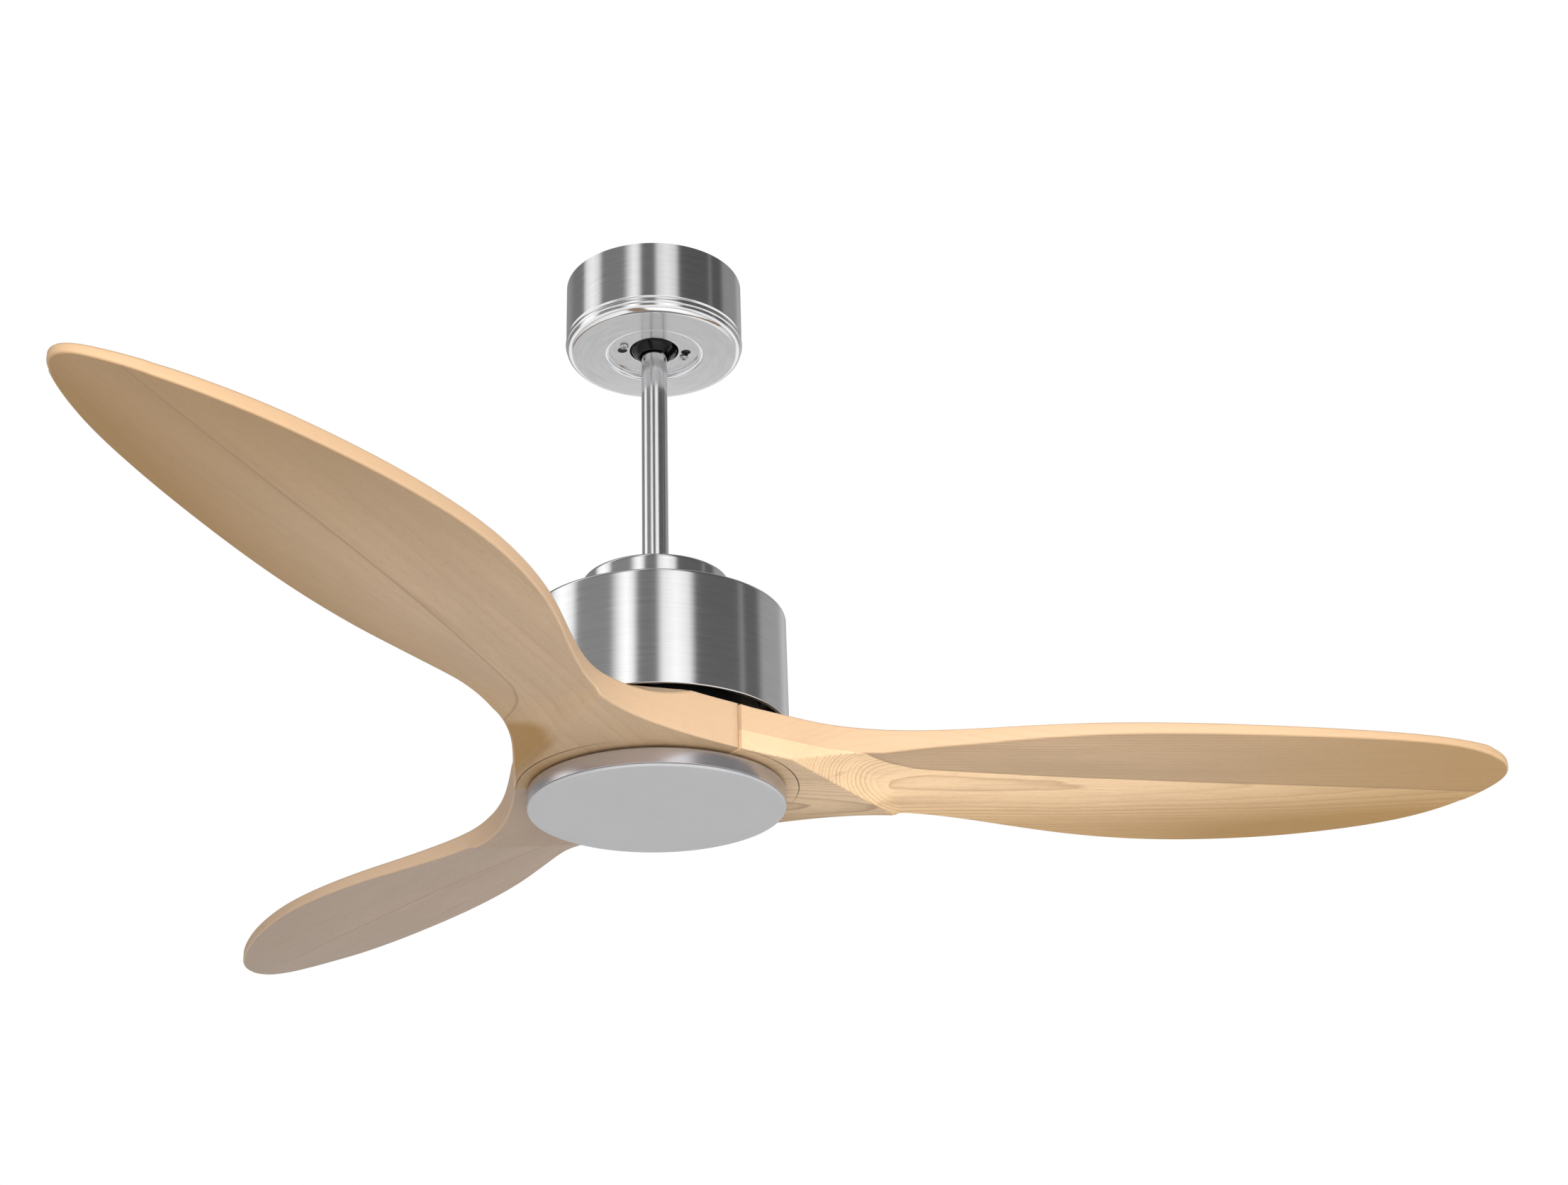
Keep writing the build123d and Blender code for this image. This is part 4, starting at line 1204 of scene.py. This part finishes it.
class FAN_OT_stage(FanStep, bpy.types.Operator):
    """Sets up the pale floor, the soft light and the camera"""

    bl_idname = "fan.stage"
    bl_label = "Stage"

    def execute(self, context):
        deselect()
        bpy.ops.mesh.primitive_plane_add(size=8, location=(0, 0, -2.3))
        floor = bpy.context.object
        floor.name = "studio_floor"
        settle(floor)
        material, _, shader, _ = start_material("studio_floor")
        shader.inputs["Base Color"].default_value = (0.86, 0.86, 0.86, 1)
        shader.inputs["Roughness"].default_value = 0.8
        dress(floor, material)
        studio_sky()
        softbox("key_softbox", (0.5, -3.0, -0.75), (0, 0, -0.42), 2.0, 98.0)
        softbox("floor_softbox", (0, 0, -1.2), (0, 0, -2.3), 6.0, 68.0)
        softbox("top_softbox", (0, 0.4, 1.6), (0, 0, -0.42), 3.0, 30.0)
        studio_camera()
        bpy.context.scene.view_settings.view_transform = "Standard"
        return {"FINISHED"}


def arc(a, b, c, count):
    """Points on the arc through three (radius, height) points."""
    ax, ay, bx, by, cx, cy = *a, *b, *c
    d = 2 * (ax * (by - cy) + bx * (cy - ay) + cx * (ay - by))
    aa, bb, cc = ax ** 2 + ay ** 2, bx ** 2 + by ** 2, cx ** 2 + cy ** 2
    x = (aa * (by - cy) + bb * (cy - ay) + cc * (ay - by)) / d
    y = (aa * (cx - bx) + bb * (ax - cx) + cc * (bx - ax)) / d
    radius = math.hypot(ax - x, ay - y)
    first = math.atan2(ay - y, ax - x)
    middle = (math.atan2(by - y, bx - x) - first + math.pi) % (2 * math.pi) - math.pi
    last = (math.atan2(cy - y, cx - x) - first + math.pi) % (2 * math.pi) - math.pi
    if middle * last < 0:
        last += math.copysign(2 * math.pi, middle)
    return [(x + radius * math.cos(first + last * k / (count - 1)),
             y + radius * math.sin(first + last * k / (count - 1))) for k in range(count)]


def keyhole_cutter(turn):
    """Upright cutter with a keyhole outline that follows the screw circle."""
    pitch, big, small, wide_at, run = 25.7, 3.9, 2.2, math.radians(3), math.radians(17)
    neck = math.asin(small / big)
    line = []
    for k in range(25):
        angle = neck + (2 * math.pi - 2 * neck) * k / 24
        line.append((big * math.cos(angle), big * math.sin(angle)))
    far = pitch * run
    for k in range(5, 10):
        line.append((far * k / 10, -small))
    for k in range(13):
        angle = -math.pi / 2 + math.pi * k / 12
        line.append((far + small * math.cos(angle), small * math.sin(angle)))
    for k in range(9, 4, -1):
        line.append((far * k / 10, small))
    verts = []
    for z in (-54.0, -60.0):
        for along, across in line:
            angle = turn + wide_at + along / pitch
            reach = (pitch + across) * MM
            verts.append((reach * math.cos(angle), reach * math.sin(angle), z * MM))
    count = len(line)
    faces = [list(range(count)), list(range(2 * count - 1, count - 1, -1))]
    faces += [[(k + 1) % count, k, count + k, count + (k + 1) % count] for k in range(count)]
    mesh = bpy.data.meshes.new("keyhole")
    mesh.from_pydata(verts, [], faces)
    cutter = bpy.data.objects.new("keyhole", mesh)
    bpy.context.collection.objects.link(cutter)
    deselect()
    cutter.select_set(True)
    bpy.context.view_layer.objects.active = cutter
    bpy.ops.object.mode_set(mode="EDIT")
    bpy.ops.mesh.select_all(action="SELECT")
    bpy.ops.mesh.normals_make_consistent(inside=False)
    bpy.ops.object.mode_set(mode="OBJECT")
    return cutter


# ---------------------------------------------------------------- stage


def softbox(name, place, aim, size, power):
    """Square soft light at a place, aimed at a point."""
    light = bpy.data.lights.new(name, "AREA")
    light.shape = "SQUARE"
    light.size = size
    light.energy = power
    lamp = bpy.data.objects.new(name, light)
    bpy.context.collection.objects.link(lamp)
    lamp.location = place
    lamp.rotation_euler = (Vector(aim) - Vector(place)).to_track_quat("-Z", "Y").to_euler()
    lamp.visible_camera = False
    lamp.visible_glossy = False
    return lamp


# bearings are in degrees from straight towards the viewer, with the brightness of the studio there
STUDIO_WALLS = ((-180, -150, 0.40), (-127, -107, 0.27), (-71, -40, 0.29), (-15, 0, 0.21), (35, 75, 0.14),
                (84, 98, 0.14), (106, 135, 0.39), (148, 152, 0.58), (176, 180, 0.40))
# centre, width and brightness of each tall strip light, which is a little weaker at its sides
STUDIO_STRIPS = ((-89, 22, 1.45), (-25.5, 11, 1.45), (17, 23, 1.32), (80, 1, 0.36))
STRIP_SIDES = 0.80
FLOOR_GLOW = 1.05


def studio_sky():
    """Tall soft strips all round above the horizon, an even pale glow below, and white for the backdrop."""
    world = bpy.context.scene.world or bpy.data.worlds.new("studio")
    bpy.context.scene.world = world
    world.use_nodes = True
    world.node_tree.nodes.clear()
    g = Graph(world.node_tree)
    way = g.add("ShaderNodeTexCoord").outputs["Generated"]
    x, y, z = g.split(way)
    bearing = g.math("MULTIPLY", g.math("ARCTAN2", x, g.math("MULTIPLY", y, -1.0)), 180 / math.pi)
    bands = g.add("ShaderNodeFloatCurve")
    curve = bands.mapping.curves[0]
    bands.mapping.use_clip = False
    bands.mapping.extend = "HORIZONTAL"
    outline = [(edge, bright) for *edges, bright in STUDIO_WALLS for edge in edges]
    for centre, width, bright in STUDIO_STRIPS:
        outline += [(centre - width / 2, bright * STRIP_SIDES), (centre, bright),
                    (centre + width / 2, bright * STRIP_SIDES)]
    for i, (angle, bright) in enumerate(sorted(outline)):
        point = ((angle + 180) / 360, bright / 3)
        if i < 2:
            curve.points[i].location = point
        else:
            curve.points.new(*point)
    for point in curve.points:
        point.handle_type = "VECTOR"
    bands.mapping.update()
    g.feed(bands.inputs["Value"], g.span(bearing, -180, 180))
    upper = g.math("MULTIPLY", bands.outputs[0], 3.0)
    upper = g.math("MULTIPLY", upper, g.span(z, 0.36, 0.58, 1.0, 0.72, True))
    level = g.math("ADD", g.math("MULTIPLY", g.span(z, -0.06, 0.06, 0.0, 1.0, True),
                                 g.math("SUBTRACT", upper, FLOOR_GLOW)), FLOOR_GLOW)
    seen = g.add("ShaderNodeLightPath").outputs["Is Camera Ray"]
    grey = g.vector(level, level, level)
    tone = g.mix(seen, grey, (1, 1, 1, 1))
    back = g.add("ShaderNodeBackground")
    g.join(tone, back.inputs[0])
    g.join(back.outputs[0], g.add("ShaderNodeOutputWorld").inputs[0])


def studio_camera():
    """Camera below and in front of the fan, looking up at it."""
    pitch, yaw, roll = math.radians(25.069), math.radians(3.639), math.radians(-1.881)
    ahead = Vector((math.sin(yaw) * math.cos(pitch), math.cos(yaw) * math.cos(pitch), math.sin(pitch)))
    right = Vector((math.cos(yaw), -math.sin(yaw), 0))
    up = right.cross(ahead)
    x = math.cos(roll) * right + math.sin(roll) * up
    y = -math.sin(roll) * right + math.cos(roll) * up
    data = bpy.data.cameras.new("viewpoint")
    data.sensor_width = 36
    data.lens = 51.73
    camera = bpy.data.objects.new("viewpoint", data)
    bpy.context.collection.objects.link(camera)
    turn = Matrix((x, y, -ahead)).transposed()
    camera.matrix_world = Matrix.Translation((-0.0011, -1.5741, -1.0121)) @ turn.to_4x4()
    bpy.context.scene.camera = camera


# ---------------------------------------------------------------- add-on

STEPS = (FAN_OT_groups, FAN_OT_inner_parts, FAN_OT_canopy, FAN_OT_canopy_screws, FAN_OT_hanger_ball,
         FAN_OT_downrod, FAN_OT_coupling_cap, FAN_OT_motor_housing, FAN_OT_blades, FAN_OT_light_pan,
         FAN_OT_diffuser, FAN_OT_stage)


class FAN_PT_panel(bpy.types.Panel):
    """Lists the building steps and the sizes and colours they use"""

    bl_label = "Ceiling Fan"
    bl_idname = "FAN_PT_panel"
    bl_space_type = "VIEW_3D"
    bl_region_type = "UI"
    bl_category = "Fan"

    def draw(self, context):
        layout = self.layout
        for group in (context.scene.fan_sizes, context.scene.fan_colours):
            for name in group.__annotations__:
                layout.prop(group, name)
        for step in STEPS:
            layout.operator(step.bl_idname)


CLASSES = (FanSizes, FanColours, *STEPS, FAN_PT_panel)


def register():
    """Registers the classes and the fan's settings."""
    for item in CLASSES:
        bpy.utils.register_class(item)
    bpy.types.Scene.fan_sizes = bpy.props.PointerProperty(type=FanSizes)
    bpy.types.Scene.fan_colours = bpy.props.PointerProperty(type=FanColours)


def unregister():
    """Removes the classes and the fan's settings."""
    del bpy.types.Scene.fan_colours
    del bpy.types.Scene.fan_sizes
    for item in reversed(CLASSES):
        bpy.utils.unregister_class(item)


def main():
    """Builds the fan step by step."""
    register()
    for step in STEPS:
        group, name = step.bl_idname.split(".")
        if getattr(getattr(bpy.ops, group), name)() != {"FINISHED"}:
            raise RuntimeError(f"{step.bl_label} was not built")


if __name__ == "__main__":
    main()
